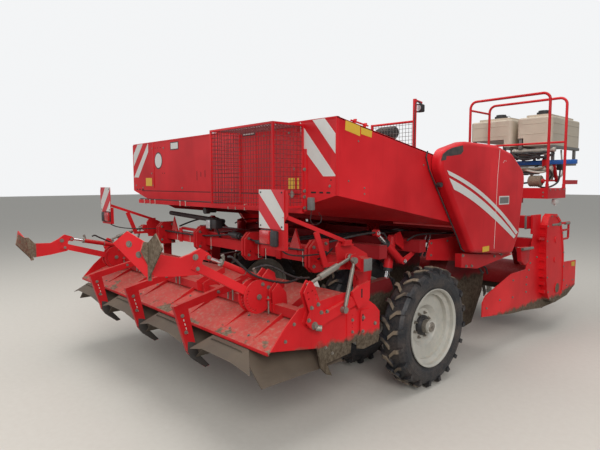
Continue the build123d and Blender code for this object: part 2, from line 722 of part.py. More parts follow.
sheet_points = [
    (hood_lip_y, hood_lip_z - 22), (hood_lip_y - 3, hood_lip_z), (hood_front_y, hood_front_z),
    (hood_front_y + 110, hood_front_z + 10),
    (hood_front_y + 110, hood_front_z - 60), (hood_front_y + 104, hood_front_z - 60),
    (hood_front_y + 104, hood_front_z + 2),
    (hood_front_y, hood_front_z - hood_sheet), (hood_lip_y + 6, hood_lip_z - 8),
    (hood_lip_y + 6, hood_lip_z - 22),
]
hood = slab_x(sheet_points, -hood_half + 10, hood_half - 10)
tube_y = -1610.0
tube_z = hood_z(tube_y)
hood += block(-hood_half + 10, hood_half - 10, tube_y - 40, tube_y + 40, tube_z + 8, tube_z + 78)
for rib in (-1.5, -0.5, 0.5, 1.5):
    rib_x = rib * row_pitch
    for rib_side in (-1, 1):
        x0 = rib_x + rib_side * 190
        web = slab_x([
            (hood_lip_y + 30, hood_z(hood_lip_y + 30) - 3),
            (hood_front_y - 30, hood_z(hood_front_y - 30) - 3),
            (hood_front_y - 30, hood_z(hood_front_y - 30) + 62), (-1500, hood_z(-1500) + 60),
        ], x0 - 4, x0 + 4)
        hood += web
write(hood, "hood_sheet")
hood_side = [
    (hood_lip_y + 10, 805), (-1838, 943), (-1710, 1051), (-1560, 1070), (-1250, 1095), (-1110, 1090),
    (-880, 940),
    (-820, 880), (-820, 690), (-1160, 707), (-1172, 613), (-1441, 593), (-1521, 672), (-1533, 732),
    (-1700, 760),
]
hole_plate = [
    (-1646, 1250), (-1624, 1239), (-1603, 1209), (-1565, 1123), (-1509, 992), (-1498, 908), (-1630, 902),
    (-1683, 953), (-1651, 1026), (-1703, 1169), (-1688, 1197),
]
slotted_plate = [
    (-999, 1160), (-997, 1025), (-1023, 993), (-1128, 959), (-1193, 1065), (-1194, 1099), (-1130, 1135),
]
wing_plate = [
    (-948, 921), (-1057, 934), (-1076, 913), (-1078, 758), (-1120, 718), (-1119, 638), (-1039, 618),
    (-859, 638),
    (-846, 676), (-854, 743),
]
side_tine = [
    (-1533, 760), (-1480, 760), (-1441, 593), (-1382, 488), (-1441, 513), (-1499, 574),
]
plate_holes = [
    # y, z
    (-1666, 1166), (-1626, 1174), (-1657, 1121), (-1593, 1141), (-1583, 1108),
]
hinge_hole = rod(
    (hood_half - 200, hood_hinge_y, hood_hinge_z), (hood_half + 100, hood_hinge_y, hood_hinge_z),
    hood_pin_r + pin_fit,
)
side = slab_x(hood_side, hood_half - 10 + seat, hood_half)
side += rod((hood_half - 40, hood_hinge_y, hood_hinge_z), (hood_half + 4, hood_hinge_y, hood_hinge_z), 36)
side += slab_x(hole_plate, hood_half - 1, hood_half + 8)
side += slab_x(hole_plate, hood_half + 38, hood_half + 46)
side += block(hood_half - 1, hood_half + 42, -1640, -1560, 910, 990)
side += bar((hood_half + 16, -1500, 945), (hood_half + 16, -1160, 1028), 34, 74)
side += slab_x(slotted_plate, hood_half + 20, hood_half + 42)
side += slab_x(wing_plate, hood_half + 12, hood_half + 20)
side += block(hood_half - 1, hood_half + 14, -1060, -960, 700, 900)
side += slab_x([(-1222, 690), (-1222, 960), (-1120, 960), (-1092, 690)], hood_half - 1, hood_half + 7)
side += slab_x(side_tine, hood_half - 10 + seat, hood_half + 6)
for hole_y, hole_z in plate_holes:
    side = side - rod((hood_half - 20, hole_y, hole_z), (hood_half + 60, hole_y, hole_z), 8)
for step in range(5):
    hole_z = 778 + step * 32
    side = side - rod((hood_half - 20, -1163, hole_z), (hood_half + 20, -1163, hole_z), 6)
side = side - block(hood_half + 15, hood_half + 50, -1102, -1086, 1041, 1111)
side = side - hinge_hole
write(side, "hood_side_right")
write(mirror_x(side), "hood_side_left")

# adjusting links between hood and toolbar ears: a turnbuckle and a threaded strut each side
link_foot = (hood_half + 23.5, -1655, 1215)
link_eye = (link_x, -1179, 1361)
turnbuckle = rod(link_foot, link_eye, 13)
turnbuckle += rod((link_x + 12, -1530, 1253), (link_x + 6, -1340, 1312), 24)
turnbuckle += Pos(*link_eye) * Rot(0, 90, 0) * Cylinder(26, 24)
strut_x = hood_half + 58
strut = rod((strut_x, -1298, 1015), (strut_x, -1218, 1290), 15)
strut += rod((strut_x, -1305, 985), (strut_x, -1205, 1335), 11)
strut += rod((hood_half + 33 + seat, -1305, 985), (strut_x + 16, -1305, 985), 24)
strut += rod((link_x + 38, -1203, 1345), (strut_x + 16, -1203, 1345), 24)
links = turnbuckle + strut
write(links + mirror_x(links), "hood_links")

# ridge formers: four open channels under the sheet
former_y0 = -1960.0
former_y1 = -1240.0
shoulder = 190.0
for number, row in enumerate((-1.5, -0.5, 0.5, 1.5), start=1):
    centre = row * row_pitch
    wing = 425.0
    low = 560.0
    top0 = hood_z(former_y0) - 34
    channel = [
        (centre - wing, low), (centre - shoulder, 790 - 24), (centre + shoulder, 790 - 24),
        (centre + wing, low),
        (centre + wing - 8, low - 4), (centre + shoulder - 4, 790 - 32), (centre - shoulder + 4, 790 - 32),
        (centre - wing + 8, low - 4),
    ]
    former = slab_y(channel, former_y0 - 60, former_y1)
    for strut_x in (centre - 120, centre + 120):
        former += slab_x([
            (former_y1 - 40, 760), (former_y1 - 40, sheet_under(former_y1 - 40) - seat),
            (former_y0 + 150, sheet_under(former_y0 + 150) - seat), (former_y0 + 90, 760),
        ], strut_x - 5, strut_x + 5)
    write(former, "ridge_former_" + str(number))

# inter-row tines on the cross tube
tines = [
    # name, x
    ("tine_left", -row_pitch),
    ("tine_centre", 0.0),
    ("tine_right", row_pitch),
]
for name, x in tines:
    top = tube_z + 78 + seat
    tine = bar((x, -2150, 965), (x, -1560, 1088), 40, 60)
    tine += block(x - 20, x + 20, tube_y - 35, tube_y + 35, top, top + 45)
    tine += slab_x([
        (-2200, 985), (-2085, 1000), (-2010, 620), (-1990, 560), (-1895, 452), (-1935, 448), (-2040, 540),
        (-2085, 600),
    ], x - 18, x + 18)
    write(tine, name)

# furrow-dam paddles on lifting arms, each beside a round index plate with holes
mount_foot = tube_z + 78 + seat
mount_points = [
    (tube_y - 60, mount_foot), (tube_y + 60, mount_foot), (-1590, 1240), (-1650, 1275), (-1740, 1190),
    (-1790, 1130),
    (-1790, tube_z + 84),
]
index_r = 128.0
index_holes = 9
neck_points = [
    (-2230, 1300), (-2200, 1400), (-2140, 1400), (-2150, 1440), (-2215, 1480), (-2290, 1450), (-2370, 1430),
    (-2520, 1470), (-2560, 1545), (-2620, 1560), (-2640, 1500), (-2560, 1330), (-2400, 1310),
]
left_out = 0.829
left_back = 0.559
right_out = 0.9962
right_back = 0.0872
blade_points = [(0, -120), (0, 110), (150, 190), (255, 110)]
dykers = [
    # name, side, drop of the arm in degrees
    ("right", 1, 0.0),
    ("left", -1, left_drop),
]


def around_pivot(shape, degrees):
    home = Pos(0, -dyker_pivot_y, -dyker_pivot_z)
    return Pos(0, dyker_pivot_y, dyker_pivot_z) * Rot(degrees, 0, 0) * home * shape


for name, side, drop in dykers:
    mount = Part()
    for plate_x in (dyker_x - 42, dyker_x + 30):
        disc = Pos(plate_x + 6, dyker_pivot_y, dyker_pivot_z) * Rot(0, 90, 0) * Cylinder(index_r, 12)
        plate = slab_x(mount_points, plate_x, plate_x + 12) + disc
        plate = plate - block(plate_x - 1, plate_x + 13, tube_y - 41, -1400, 900, mount_foot)
        for index in range(index_holes):
            turn = math.radians(150 + index * 13)
            hole_y = dyker_pivot_y + 104 * math.cos(turn)
            hole_z = dyker_pivot_z + 104 * math.sin(turn)
            plate = plate - rod((plate_x - 5, hole_y, hole_z), (plate_x + 17, hole_y, hole_z), 7)
        mount += plate
    mount += block(dyker_x - 42, dyker_x + 42, tube_y - 30, tube_y + 30, mount_foot, mount_foot + 18)
    mount += rod(
        (dyker_x - 50, dyker_pivot_y, dyker_pivot_z), (dyker_x + 50, dyker_pivot_y, dyker_pivot_z),
        dyker_pin_r,
    )
    write(mount if side > 0 else mirror_x(mount), "dyker_mount_" + name)
    eye = rod((dyker_x - 24, dyker_pivot_y, dyker_pivot_z), (dyker_x + 24, dyker_pivot_y, dyker_pivot_z), 34)
    swing = eye + bar((dyker_x, dyker_pivot_y - 20, dyker_pivot_z + 12), (dyker_x, -2280, 1375), 44, 62)
    neck = slab_x(neck_points, dyker_x - 12, dyker_x + 12)
    corner = (dyker_x, -2588, 1430)
    right_blade = plate_on(
        blade_points, (corner[0] - 3, corner[1], corner[2]), (right_out, -right_back, 0), (-right_back, -right_out, 0), 8
    )
    left_blade = plate_on(
        blade_points, (corner[0] + 3, corner[1], corner[2]), (-left_out, -left_back, 0), (-left_back, left_out, 0), 8
    )
    keel = block(dyker_x - 13, dyker_x + 13, -2596, -2570, 1306, 1545)
    swing = swing + neck + keel + right_blade + left_blade
    bore = rod(
        (dyker_x - 60, dyker_pivot_y, dyker_pivot_z), (dyker_x + 60, dyker_pivot_y, dyker_pivot_z),
        dyker_pin_r + pin_fit,
    )
    swing = around_pivot(swing - bore, drop)
    neck = around_pivot(neck, drop)
    write(swing if side > 0 else mirror_x(swing), "dyker_arm_" + name)
    tip = around_pivot(Pos(dyker_x, -2160, 1414), drop).position
    base = Vector(dyker_x, -1712, 1205)
    reach = tip - base
    near = base + reach * 0.76
    ram = rod(tuple(base), tuple(near), 23)
    ram += rod(tuple(base + reach * 0.74), tuple(base + reach * 0.97), 12)
    ram += Pos(*tuple(tip)) * Rot(0, 90, 0) * Cylinder(24, 40)
    ram = ram - neck
    write(ram if side > 0 else mirror_x(ram), "dyker_ram_" + name)

# drawbar with towing eye and jack sleeve
draw = slab_x([
    (2300, rail_low), (2300, rail_high), (3900, rail_high - 10), (4640, 690), (4700, 640), (4700, 540),
    (4560, 540), (3820, rail_low),
], -60, 60)
draw += block(-rail_x + rail_w / 2 + seat, rail_x - rail_w / 2 - seat, 2300, 2420, rail_low, rail_high)
draw += block(-rail_x + rail_w / 2 + seat, rail_x - rail_w / 2 - seat, 2900, 3000, rail_low, rail_high)
draw = draw - block(-rail_x, rail_x, 3130 - seat, 3250 + seat, rail_low - 1, rail_high + 1)
draw += block(-60, 60, 3100, 3300, rail_high + seat, rail_high + 60)
draw += block(-60, 60, 2900, 3130, rail_low, rail_high + 60)
draw += block(-60, 60, 3250 + seat, 3500, rail_low, rail_high + 60)
eye = rod((0, 4870, eye_z - 30), (0, 4870, eye_z + 30), 80)
draw += eye + block(-45, 45, 4680, 4830, eye_z - 30, eye_z + 30)
draw = draw - rod((0, 4870, eye_z - 50), (0, 4870, eye_z + 50), eye_bore_r)
sleeve = block(jack_x - 40, jack_x + 40, jack_y - 40, jack_y + 40, 520, 1250)
draw += sleeve + block(50, jack_x, jack_y - 30, jack_y + 30, 760, 900)
draw = draw - block(jack_x - 33, jack_x + 33, jack_y - 33, jack_y + 33, 500, 1240)
write(draw, "drawbar")
leg_half = 32.5
leg = block(jack_x - leg_half, jack_x + leg_half, jack_y - leg_half, jack_y + leg_half, 12, 900)
leg += Pos(jack_x, jack_y, 8) * Cylinder(110, 16)
write(leg, "jack_leg")
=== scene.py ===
import math

import bmesh
import bpy
from mathutils import Matrix, Vector
from mathutils.geometry import interpolate_bezier


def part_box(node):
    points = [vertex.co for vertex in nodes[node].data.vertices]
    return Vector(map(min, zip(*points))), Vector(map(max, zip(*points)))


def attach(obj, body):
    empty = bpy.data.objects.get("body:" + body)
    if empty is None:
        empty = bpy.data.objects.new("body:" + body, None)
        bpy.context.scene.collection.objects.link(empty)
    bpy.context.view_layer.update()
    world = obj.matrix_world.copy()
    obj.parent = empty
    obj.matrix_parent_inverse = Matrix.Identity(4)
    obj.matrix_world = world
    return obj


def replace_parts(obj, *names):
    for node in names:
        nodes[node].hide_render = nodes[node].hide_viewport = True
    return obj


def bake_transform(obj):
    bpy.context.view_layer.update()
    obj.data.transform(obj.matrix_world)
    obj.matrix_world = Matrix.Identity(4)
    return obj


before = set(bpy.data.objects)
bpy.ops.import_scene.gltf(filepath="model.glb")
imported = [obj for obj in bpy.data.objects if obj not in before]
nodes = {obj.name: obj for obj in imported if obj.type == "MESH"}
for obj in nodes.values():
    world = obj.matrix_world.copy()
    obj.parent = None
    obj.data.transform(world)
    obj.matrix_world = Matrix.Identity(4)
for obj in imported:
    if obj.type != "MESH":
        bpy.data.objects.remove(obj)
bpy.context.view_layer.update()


def middle(node):
    low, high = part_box(node)
    return (low + high) / 2


# places below are measured from the wheel axle, as in the part's drawing
axleY = middle("rim_outer_right").y
axleZ = middle("rim_outer_right").z


# shader maths: a wire is one output socket, and an expression on wires adds its nodes
class Wire:
    def __init__(self, paint, socket):
        self.paint = paint
        self.socket = socket

    def math(self, operation, first, second):
        return self.paint.node("ShaderNodeMath", {"operation": operation}, {0: first, 1: second})

    def __add__(self, other):
        return self.math("ADD", self, other)

    def __radd__(self, other):
        return self.math("ADD", other, self)

    def __sub__(self, other):
        return self.math("SUBTRACT", self, other)

    def __rsub__(self, other):
        return self.math("SUBTRACT", other, self)

    def __mul__(self, other):
        return self.math("MULTIPLY", self, other)

    def __rmul__(self, other):
        return self.math("MULTIPLY", other, self)


class Paint:
    def __init__(self, name, settings=None):
        self.material = bpy.data.materials.new(name)
        self.material.use_nodes = True
        self.tree = self.material.node_tree
        self.shader = self.tree.nodes["Principled BSDF"]
        self.place = self.node("ShaderNodeTexCoord", out="Object")
        for socket, value in (settings or {}).items():
            self.shader.inputs[socket].default_value = value

    def node(self, kind, settings=None, values=None, out=0):
        made = self.tree.nodes.new(kind)
        for key, value in (settings or {}).items():
            setattr(made, key, value)
        for key, value in (values or {}).items():
            self.feed(made.inputs[key], value)
        return Wire(self, made.outputs[out])

    def feed(self, socket, value):
        if isinstance(value, Wire):
            self.tree.links.new(value.socket, socket)
        elif socket.type == "RGBA" and len(value) == 3:
            socket.default_value = (*value, 1.0)
        else:
            socket.default_value = value

    def noise(self, scale, detail=4.0, rough=0.55, stretch=(1, 1, 1), turn=(0, 0, 0)):
        values = {"Vector": self.place, "Scale": stretch, "Rotation": turn}
        where = self.node("ShaderNodeMapping", None, values)
        values = {"Vector": where, "Scale": scale, "Detail": detail, "Roughness": rough}
        return self.node("ShaderNodeTexNoise", None, values)

    def axis(self, letter):
        return self.node("ShaderNodeSeparateXYZ", None, {0: self.place}, out=letter)

    def facing(self, letter):
        normal = self.node("ShaderNodeNewGeometry", out="Normal")
        return self.node("ShaderNodeSeparateXYZ", None, {0: normal}, out=letter)

    def ramp(self, value, low, high, floor=0.0, top=1.0):
        values = {"Value": value, "From Min": low, "From Max": high, "To Min": floor, "To Max": top}
        return self.node("ShaderNodeMapRange", {"clamp": True}, values)

    def mix(self, share, first, second):
        # sockets 6 and 7 are the two colours of a Mix node
        values = {"Factor": share, 6: first, 7: second}
        return self.node("ShaderNodeMix", {"data_type": "RGBA"}, values, out=2)

    def colour(self, value):
        self.feed(self.shader.inputs["Base Color"], value)

    def rough(self, value):
        self.feed(self.shader.inputs["Roughness"], value)

    def metal(self, value):
        self.feed(self.shader.inputs["Metallic"], value)

    def bump(self, height, distance, strength=1.0):
        values = {"Height": height, "Distance": distance, "Strength": strength}
        self.feed(self.shader.inputs["Normal"], self.node("ShaderNodeBump", None, values))


soilColours = {"pale": (0.30, 0.235, 0.165), "brown": (0.105, 0.072, 0.046), "dust": (0.42, 0.30, 0.22)}


# gloss red machine paint, dusty on top faces and scuffed
# soilTop is the height below which soil cakes it, and soilShade darkens that soil: a darker mud tone, and on
# the parts under the machine painted shade
# mud gives (rear y, front y, share) of a strip with caked patches, from the axle
# bladeSoil is the x from which a paddle's blade is caked
def redPaint(
    name, dust=0.25, soilTop=None, base=(0.60, 0.008, 0.014), scuffs=0.5, mud=None, bladeSoil=None,
    soilShade=1.0,
):
    paint = Paint(name, {"Coat Weight": 0.05, "Coat Roughness": 0.3, "Specular IOR Level": 0.16})
    broad = paint.noise(1.3, 3.0)
    fine = paint.noise(34.0, 6.0, 0.7)
    deep = tuple(channel * 0.78 for channel in base)
    pale = (min(1.0, base[0] * 1.16), base[1] + 0.012, base[2] + 0.012)
    red = paint.mix(paint.ramp(broad, 0.35, 0.68), deep, pale)
    streak = paint.noise(5.0, 5.0, 0.62, stretch=(3.0, 3.0, 0.35))
    red = paint.mix(paint.ramp(streak, 0.56, 0.78) * 0.3, red, tuple(channel * 0.55 for channel in base))
    up = paint.ramp(paint.facing("Z"), 0.15, 0.85)
    specks = paint.ramp(fine, 0.50, 0.72)
    cover = paint.ramp((up * 0.85 + 0.06) * dust * (specks * 0.9 + 0.35), 0.0, 1.0)
    red = paint.mix(cover, red, soilColours["dust"])
    scratch = paint.noise(16.0, 8.0, 0.75, stretch=(0.35, 1.0, 2.6), turn=(0.3, 0.2, 0.1))
    worn = paint.ramp(scratch, 0.70, 0.76) * scuffs
    red = paint.mix(worn, red, (0.26, 0.12, 0.10))
    coarse = cover
    caked = None
    if soilTop is not None:
        edge = paint.noise(7.0, 5.0, 0.6) * 0.16 + paint.axis("Z")
        caked = paint.ramp(edge, soilTop + 0.10, soilTop + 0.06)
    if mud is not None:
        rear, front, share = mud
        clods = paint.noise(5.5, 5.0, 0.66)
        strip = paint.ramp(paint.axis("Y"), front + axleY, rear + axleY) * 0.16
        patch = paint.ramp(clods + strip, 0.70 - share, 0.74 - share)
        caked = patch if caked is None else paint.ramp(caked + patch, 0.0, 1.0)
    if bladeSoil is not None:
        # the blade on the right of a paddle's corner is caked
        blade = paint.ramp(paint.axis("X"), bladeSoil - 0.004, bladeSoil + 0.004)
        blade = blade * paint.ramp(paint.axis("Y"), axleY - 2.572, axleY - 2.578)
        caked = blade * paint.ramp(fine * 0.4 + broad * 0.6, 0.30, 0.46)
    if caked is not None:
        brown, pale = [
            tuple(channel * soilShade for channel in soilColours[key]) for key in ("brown", "pale")
        ]
        tone = paint.mix(paint.ramp(fine, 0.35, 0.7), brown, pale)
        red = paint.mix(caked, red, tone)
        coarse = paint.ramp(caked + cover, 0.0, 1.0)
    paint.colour(red)
    paint.rough(paint.ramp(coarse + worn * 0.3, 0.0, 1.0, 0.42, 0.9))
    paint.bump(fine * 0.4 + broad * 0.2 + coarse * 1.2, 0.0014, 0.6)
    return paint.material


# soil-scoured steel of the ridge formers and points
def wornSteel(name, dark=(0.10, 0.075, 0.055), light=(0.34, 0.27, 0.20), metal=0.25):
    paint = Paint(name)
    broad = paint.noise(3.2, 5.0, 0.6)
    run = paint.noise(22.0, 6.0, 0.7, stretch=(1.6, 0.25, 1.0))
    tone = paint.mix(paint.ramp(broad * 0.6 + run * 0.4, 0.34, 0.66), dark, light)
    up = paint.ramp(paint.facing("Z"), 0.1, 0.9)
    tone = paint.mix(up * 0.45, tone, light)
    paint.colour(tone)
    paint.metal(paint.ramp(run, 0.45, 0.7, 0.0, metal))
    paint.rough(paint.ramp(broad, 0.3, 0.7, 0.55, 0.85))
    paint.bump(run * 0.5 + broad * 0.5, 0.002, 0.7)
    return paint.material


# black tyre rubber with soil on the lugs and rings on the side wall
def tyreRubber(name, centre):
    paint = Paint(name, {"Specular IOR Level": 0.35})
    up = paint.axis("Z") - centre.z
    along = paint.axis("Y") - centre.y
    radius = paint.node("ShaderNodeMath", {"operation": "SQRT"}, {0: up * up + along * along})
    fine = paint.noise(60.0, 6.0, 0.7)
    broad = paint.noise(6.0, 4.0)
    black = paint.mix(fine, (0.009, 0.010, 0.012), (0.028, 0.029, 0.034))
    crown = paint.ramp(radius, 0.548, 0.568)
    soil = paint.ramp(crown * 0.75 + paint.ramp(broad, 0.42, 0.62) * 0.5, 0.55, 1.05)
    tone = paint.mix(fine, soilColours["pale"], (0.22, 0.165, 0.115))
    film = paint.ramp(broad * 0.6 + fine * 0.4, 0.45, 0.68) * 0.17
    black = paint.mix(film, black, soilColours["dust"])
    paint.colour(paint.mix(soil, black, tone))
    rings = paint.node("ShaderNodeMath", {"operation": "SINE"}, {0: radius * 420.0})
    wall = paint.ramp(radius, 0.50, 0.47)
    paint.rough(paint.ramp(soil, 0.0, 1.0, 0.48, 0.9))
    paint.bump(rings * wall * 0.25 + fine * 0.35 + soil * 0.6, 0.0025, 0.7)
    return paint.material


def plainFinish(name, tone, rough=0.5, metal=0.0, dust=0.25, coat=0.0, grain=45.0, contrast=0.18):
    paint = Paint(name, {"Coat Weight": coat})
    fine = paint.noise(grain, 6.0, 0.65)
    broad = paint.noise(4.0, 3.0)
    dark = tuple(channel * (1 - contrast) for channel in tone)
    light = tuple(min(1.0, channel * (1 + contrast)) for channel in tone)
    shade = paint.mix(paint.ramp(fine * 0.5 + broad * 0.5, 0.35, 0.65), dark, light)
    up = paint.ramp(paint.facing("Z"), 0.0, 0.9, 0.35, 1.0)
    film = paint.ramp(fine, 0.42, 0.7) * up * dust
    paint.colour(paint.mix(film, shade, soilColours["dust"]))
    paint.metal(metal)
    paint.rough(paint.ramp(film + fine * 0.2, 0.0, 0.6, rough, min(1.0, rough + 0.3)))
    paint.bump(fine, 0.0006, 0.5)
    return paint.material


finishes = {
    "red": redPaint("redPaint", dust=0.30),
    "redHopper": redPaint("redHopperPaint", dust=0.10, base=(0.62, 0.008, 0.014), scuffs=0.25),
    # painted light: a brighter copy of the red for the side covers, standing in for light their faces lack
    "redCover": redPaint("redCoverPaint", dust=0.06, base=(0.66, 0.008, 0.015), scuffs=0.12),
    "redTool": redPaint("redToolPaint", dust=0.45, base=(0.58, 0.008, 0.013), scuffs=0.9),
    "redHood": redPaint(
        "redHoodPaint", dust=0.70, base=(0.56, 0.010, 0.015), scuffs=1.0, mud=(-1.975, -1.78, 0.04),
    ),
    "redSoiled": redPaint(
        "redSoiledPaint", dust=0.30, soilTop=0.745, base=(0.74, 0.012, 0.018), scuffs=0.7, soilShade=0.6,
    ),
    # painted light: a brighter copy of the red for the tiller's side plates, standing in for light they lack;
    # the soil below soilTop is real soil
    "redTiller": redPaint(
        "redTillerPaint", dust=0.18, soilTop=0.46, base=(0.76, 0.008, 0.014), scuffs=0.6, soilShade=0.75,
    ),
    # painted shade: a dark copy of the red for the frame, drawbar, seed bunker, tiller hood and hopper
    # stiffeners
    "redDark": redPaint("redShadePaint", dust=0.20, base=(0.34, 0.008, 0.013)),
    "paddleRight": redPaint(
        "redPaddlePaint", dust=0.4, base=(0.72, 0.018, 0.024), scuffs=0.9, bladeSoil=1.354,
    ),
    "paddleLeft": redPaint(
        "redPaddleFarPaint", dust=0.4, base=(0.72, 0.018, 0.024), scuffs=0.9, bladeSoil=-1.346,
    ),
    # painted shade: a very dark copy of the red, with its soil darkened too, for the wheel arms and planting
    # units under the machine
    "redUnder": redPaint(
        "redUnderPaint", dust=0.5, soilTop=0.86, base=(0.20, 0.006, 0.010), scuffs=1.0, soilShade=0.42,
    ),
    "steel": wornSteel("scouredSteel", (0.052, 0.036, 0.025), (0.150, 0.112, 0.078)),
    "soilSteel": wornSteel("soiledSteel", (0.045, 0.030, 0.022), (0.16, 0.11, 0.075), 0.1),
    "rim": plainFinish("rimPaint", (0.52, 0.50, 0.44), 0.42, 0.15, dust=0.5, coat=0.1, grain=20.0),
    "black": plainFinish("blackPlastic", (0.020, 0.020, 0.022), 0.5, dust=0.12),
    "scuff": plainFinish("blackTape", (0.030, 0.028, 0.028), 0.55, dust=0.35, grain=18.0, contrast=0.35),
    "grey": plainFinish("greyPlastic", (0.16, 0.155, 0.145), 0.5, dust=0.2),
    "zinc": plainFinish("zincPlate", (0.27, 0.245, 0.21), 0.42, 0.7, dust=0.3),
    "chrome": plainFinish("chromeRod", (0.72, 0.72, 0.72), 0.16, 0.95, dust=0.08, contrast=0.05),
    "blade": wornSteel("blackenedSteel", (0.020, 0.018, 0.018), (0.075, 0.060, 0.050), 0.4),
    "tank": plainFinish("tankPlastic", (0.56, 0.48, 0.37), 0.45, dust=0.25, grain=10.0, contrast=0.07),
    "blue": plainFinish("bluePaint", (0.003, 0.092, 0.36), 0.4, dust=0.12, coat=0.1),
    "white": plainFinish("whiteFilm", (0.66, 0.645, 0.60), 0.4, dust=0.15, contrast=0.06),
    "signRed": plainFinish("signRedFilm", (0.62, 0.006, 0.018), 0.35, dust=0.05, coat=0.2, contrast=0.06),
    "yellow": plainFinish("yellowFilm", (0.70, 0.42, 0.03), 0.45, dust=0.12, contrast=0.08),
    "reflector": plainFinish("reflectorRed", (0.50, 0.006, 0.010), 0.2, dust=0.05, coat=0.5),
    "lampGlass": plainFinish(
        "lampGlass", (0.55, 0.56, 0.56), 0.15, 0.1, dust=0.2, coat=0.5, contrast=0.1,
    ),
    "hose": plainFinish("hoseRubber", (0.018, 0.018, 0.020), 0.55, dust=0.18),
    "coil": plainFinish("coilWeave", (0.20, 0.15, 0.105), 0.85, dust=0.2, grain=120.0, contrast=0.4),
    "pipe": plainFinish("pipePlastic", (0.50, 0.47, 0.40), 0.45, dust=0.3),
    "tie": plainFinish("tieWhite", (0.58, 0.54, 0.46), 0.5, dust=0.2),
    "wire": plainFinish("meshWire", (0.16, 0.010, 0.014), 0.5, dust=0.2),
    "wireGrey": plainFinish("meshGrey", (0.17, 0.16, 0.15), 0.5, 0.4, dust=0.2),
    # painted shade: a near-black finish for marks that stand for the shade in slots and holes
    "gap": plainFinish("gapShadow", (0.010, 0.006, 0.006), 0.8, dust=0.05),
    "soil": plainFinish("soilClods", (0.13, 0.09, 0.06), 0.95, dust=0.5, grain=90.0, contrast=0.4),
}


def dress(finish, *names):
    for name in names:
        for materialSlot in nodes[name].material_slots:
            materialSlot.material = finishes[finish] if isinstance(finish, str) else finish


def named(*starts):
    return [name for name in nodes if name.startswith(starts)]


dress("red", *nodes)
dress("redHopper", "hopper", "hopper_cage")
# the side covers take the brighter painted-light copy of the red
dress("redCover", "side_cover_right", "side_cover_left")
dress("redTool", *named("tine", "dyker_mount", "toolbar", "dyker_ram", "warning_board"))
dress("redHood", "hood_sheet")
dress("paddleRight", "dyker_arm_right")
dress("paddleLeft", "dyker_arm_left")
dress("redSoiled", "hood_side_right", "hood_side_left")
# the tiller's side plates take the brighter painted-light copy of the red
dress("redTiller", "tiller_side_right", "tiller_side_left")
# painted shade: these parts take the dark copy of the red
dress("redDark", "main_frame", "drawbar", "seed_bunker", "tiller_hood")
# painted shade: the parts under the machine take the very dark copy of the red
dress("redUnder", "wheel_arm_right", "wheel_arm_left", *named("planting_unit"))
dress("steel", *named("ridge_former"))
dress("soilSteel", "tiller_rotor")
dress("blue", "tank_cradle")
dress("tank", "tank_inner", "tank_outer")
dress("zinc", "jack_leg", "hood_links")
dress("rim", *named("rim"))
for name in named("tyre"):
    dress(tyreRubber(name + "Rubber", middle(name)), name)
print("materials on", len(nodes), "nodes")


# corners given by two numbers, all at one x or all at one y
def atX(x, corners):
    return [(x, y, z) for y, z in corners]


def atY(y, corners):
    return [(x, y, z) for x, z in corners]


# mesh helpers: each adds one form to a bmesh, in metres from the axle
def soften(shape, edges, bevel):
    bmesh.ops.bevel(
        shape, geom=edges, offset=bevel, segments=2, profile=0.5, affect="EDGES", material=-1,
    )


def addBlock(shape, place, size, bevel):
    made = bmesh.ops.create_cube(shape, size=1.0, matrix=place @ Matrix.Diagonal((*size, 1)))
    if bevel:
        soften(shape, list({edge for vert in made["verts"] for edge in vert.link_edges}), bevel)


def addBox(shape, x0, x1, y0, y1, z0, z1, bevel=0.0):
    centre = Matrix.Translation(((x0 + x1) / 2, (y0 + y1) / 2, (z0 + z1) / 2))
    addBlock(shape, centre, (x1 - x0, y1 - y0, z1 - z0), bevel)


def aim(start, end):
    along = Vector(end) - Vector(start)
    turn = along.to_track_quat("Z", "Y").to_matrix().to_4x4()
    return Matrix.Translation((Vector(start) + Vector(end)) / 2) @ turn, along.length


def addRod(shape, start, end, radius, sides=16, tip=None):
    place, length = aim(start, end)
    bmesh.ops.create_cone(
        shape, cap_ends=True, segments=sides, radius1=radius, radius2=radius if tip is None else tip,
        depth=length, matrix=place,
    )


def addRods(shape, rods):
    for rod in rods:
        addRod(shape, *rod)


def addBar(shape, start, end, width, height, bevel=0.0):
    place, length = aim(start, end)
    addBlock(shape, place, (width, height, length), bevel)


# a flat plate from its outline, pushed out by thick
def addPlate(shape, points, thick, bevel=0.0):
    verts = [shape.verts.new(point) for point in points]
    face = shape.faces.new(verts)
    made = bmesh.ops.extrude_face_region(shape, geom=[face])
    moved = {item for item in made["geom"] if isinstance(item, bmesh.types.BMVert)}
    bmesh.ops.translate(shape, vec=thick, verts=list(moved))
    faces = {face for vert in set(verts) | moved for face in vert.link_faces}
    bmesh.ops.recalc_face_normals(shape, faces=list(faces))
    if bevel:
        edges = {edge for vert in moved for edge in vert.link_edges}
        soften(shape, [edge for edge in edges if set(edge.verts) <= moved], bevel)


# hexagon heads with a washer, standing on a face whose outward direction is out
def addBolts(shape, places, out, spanner=0.012, height=0.008):
    outward = Vector(out).normalized()
    radius = spanner * 0.8
    for place in places:
        foot = Vector(place)
        seat = foot + outward * height * 0.35
        addRod(shape, foot, seat, radius * 1.35, 14)
        addRod(shape, seat, foot + outward * height * 1.35, radius, 6, radius * 0.93)


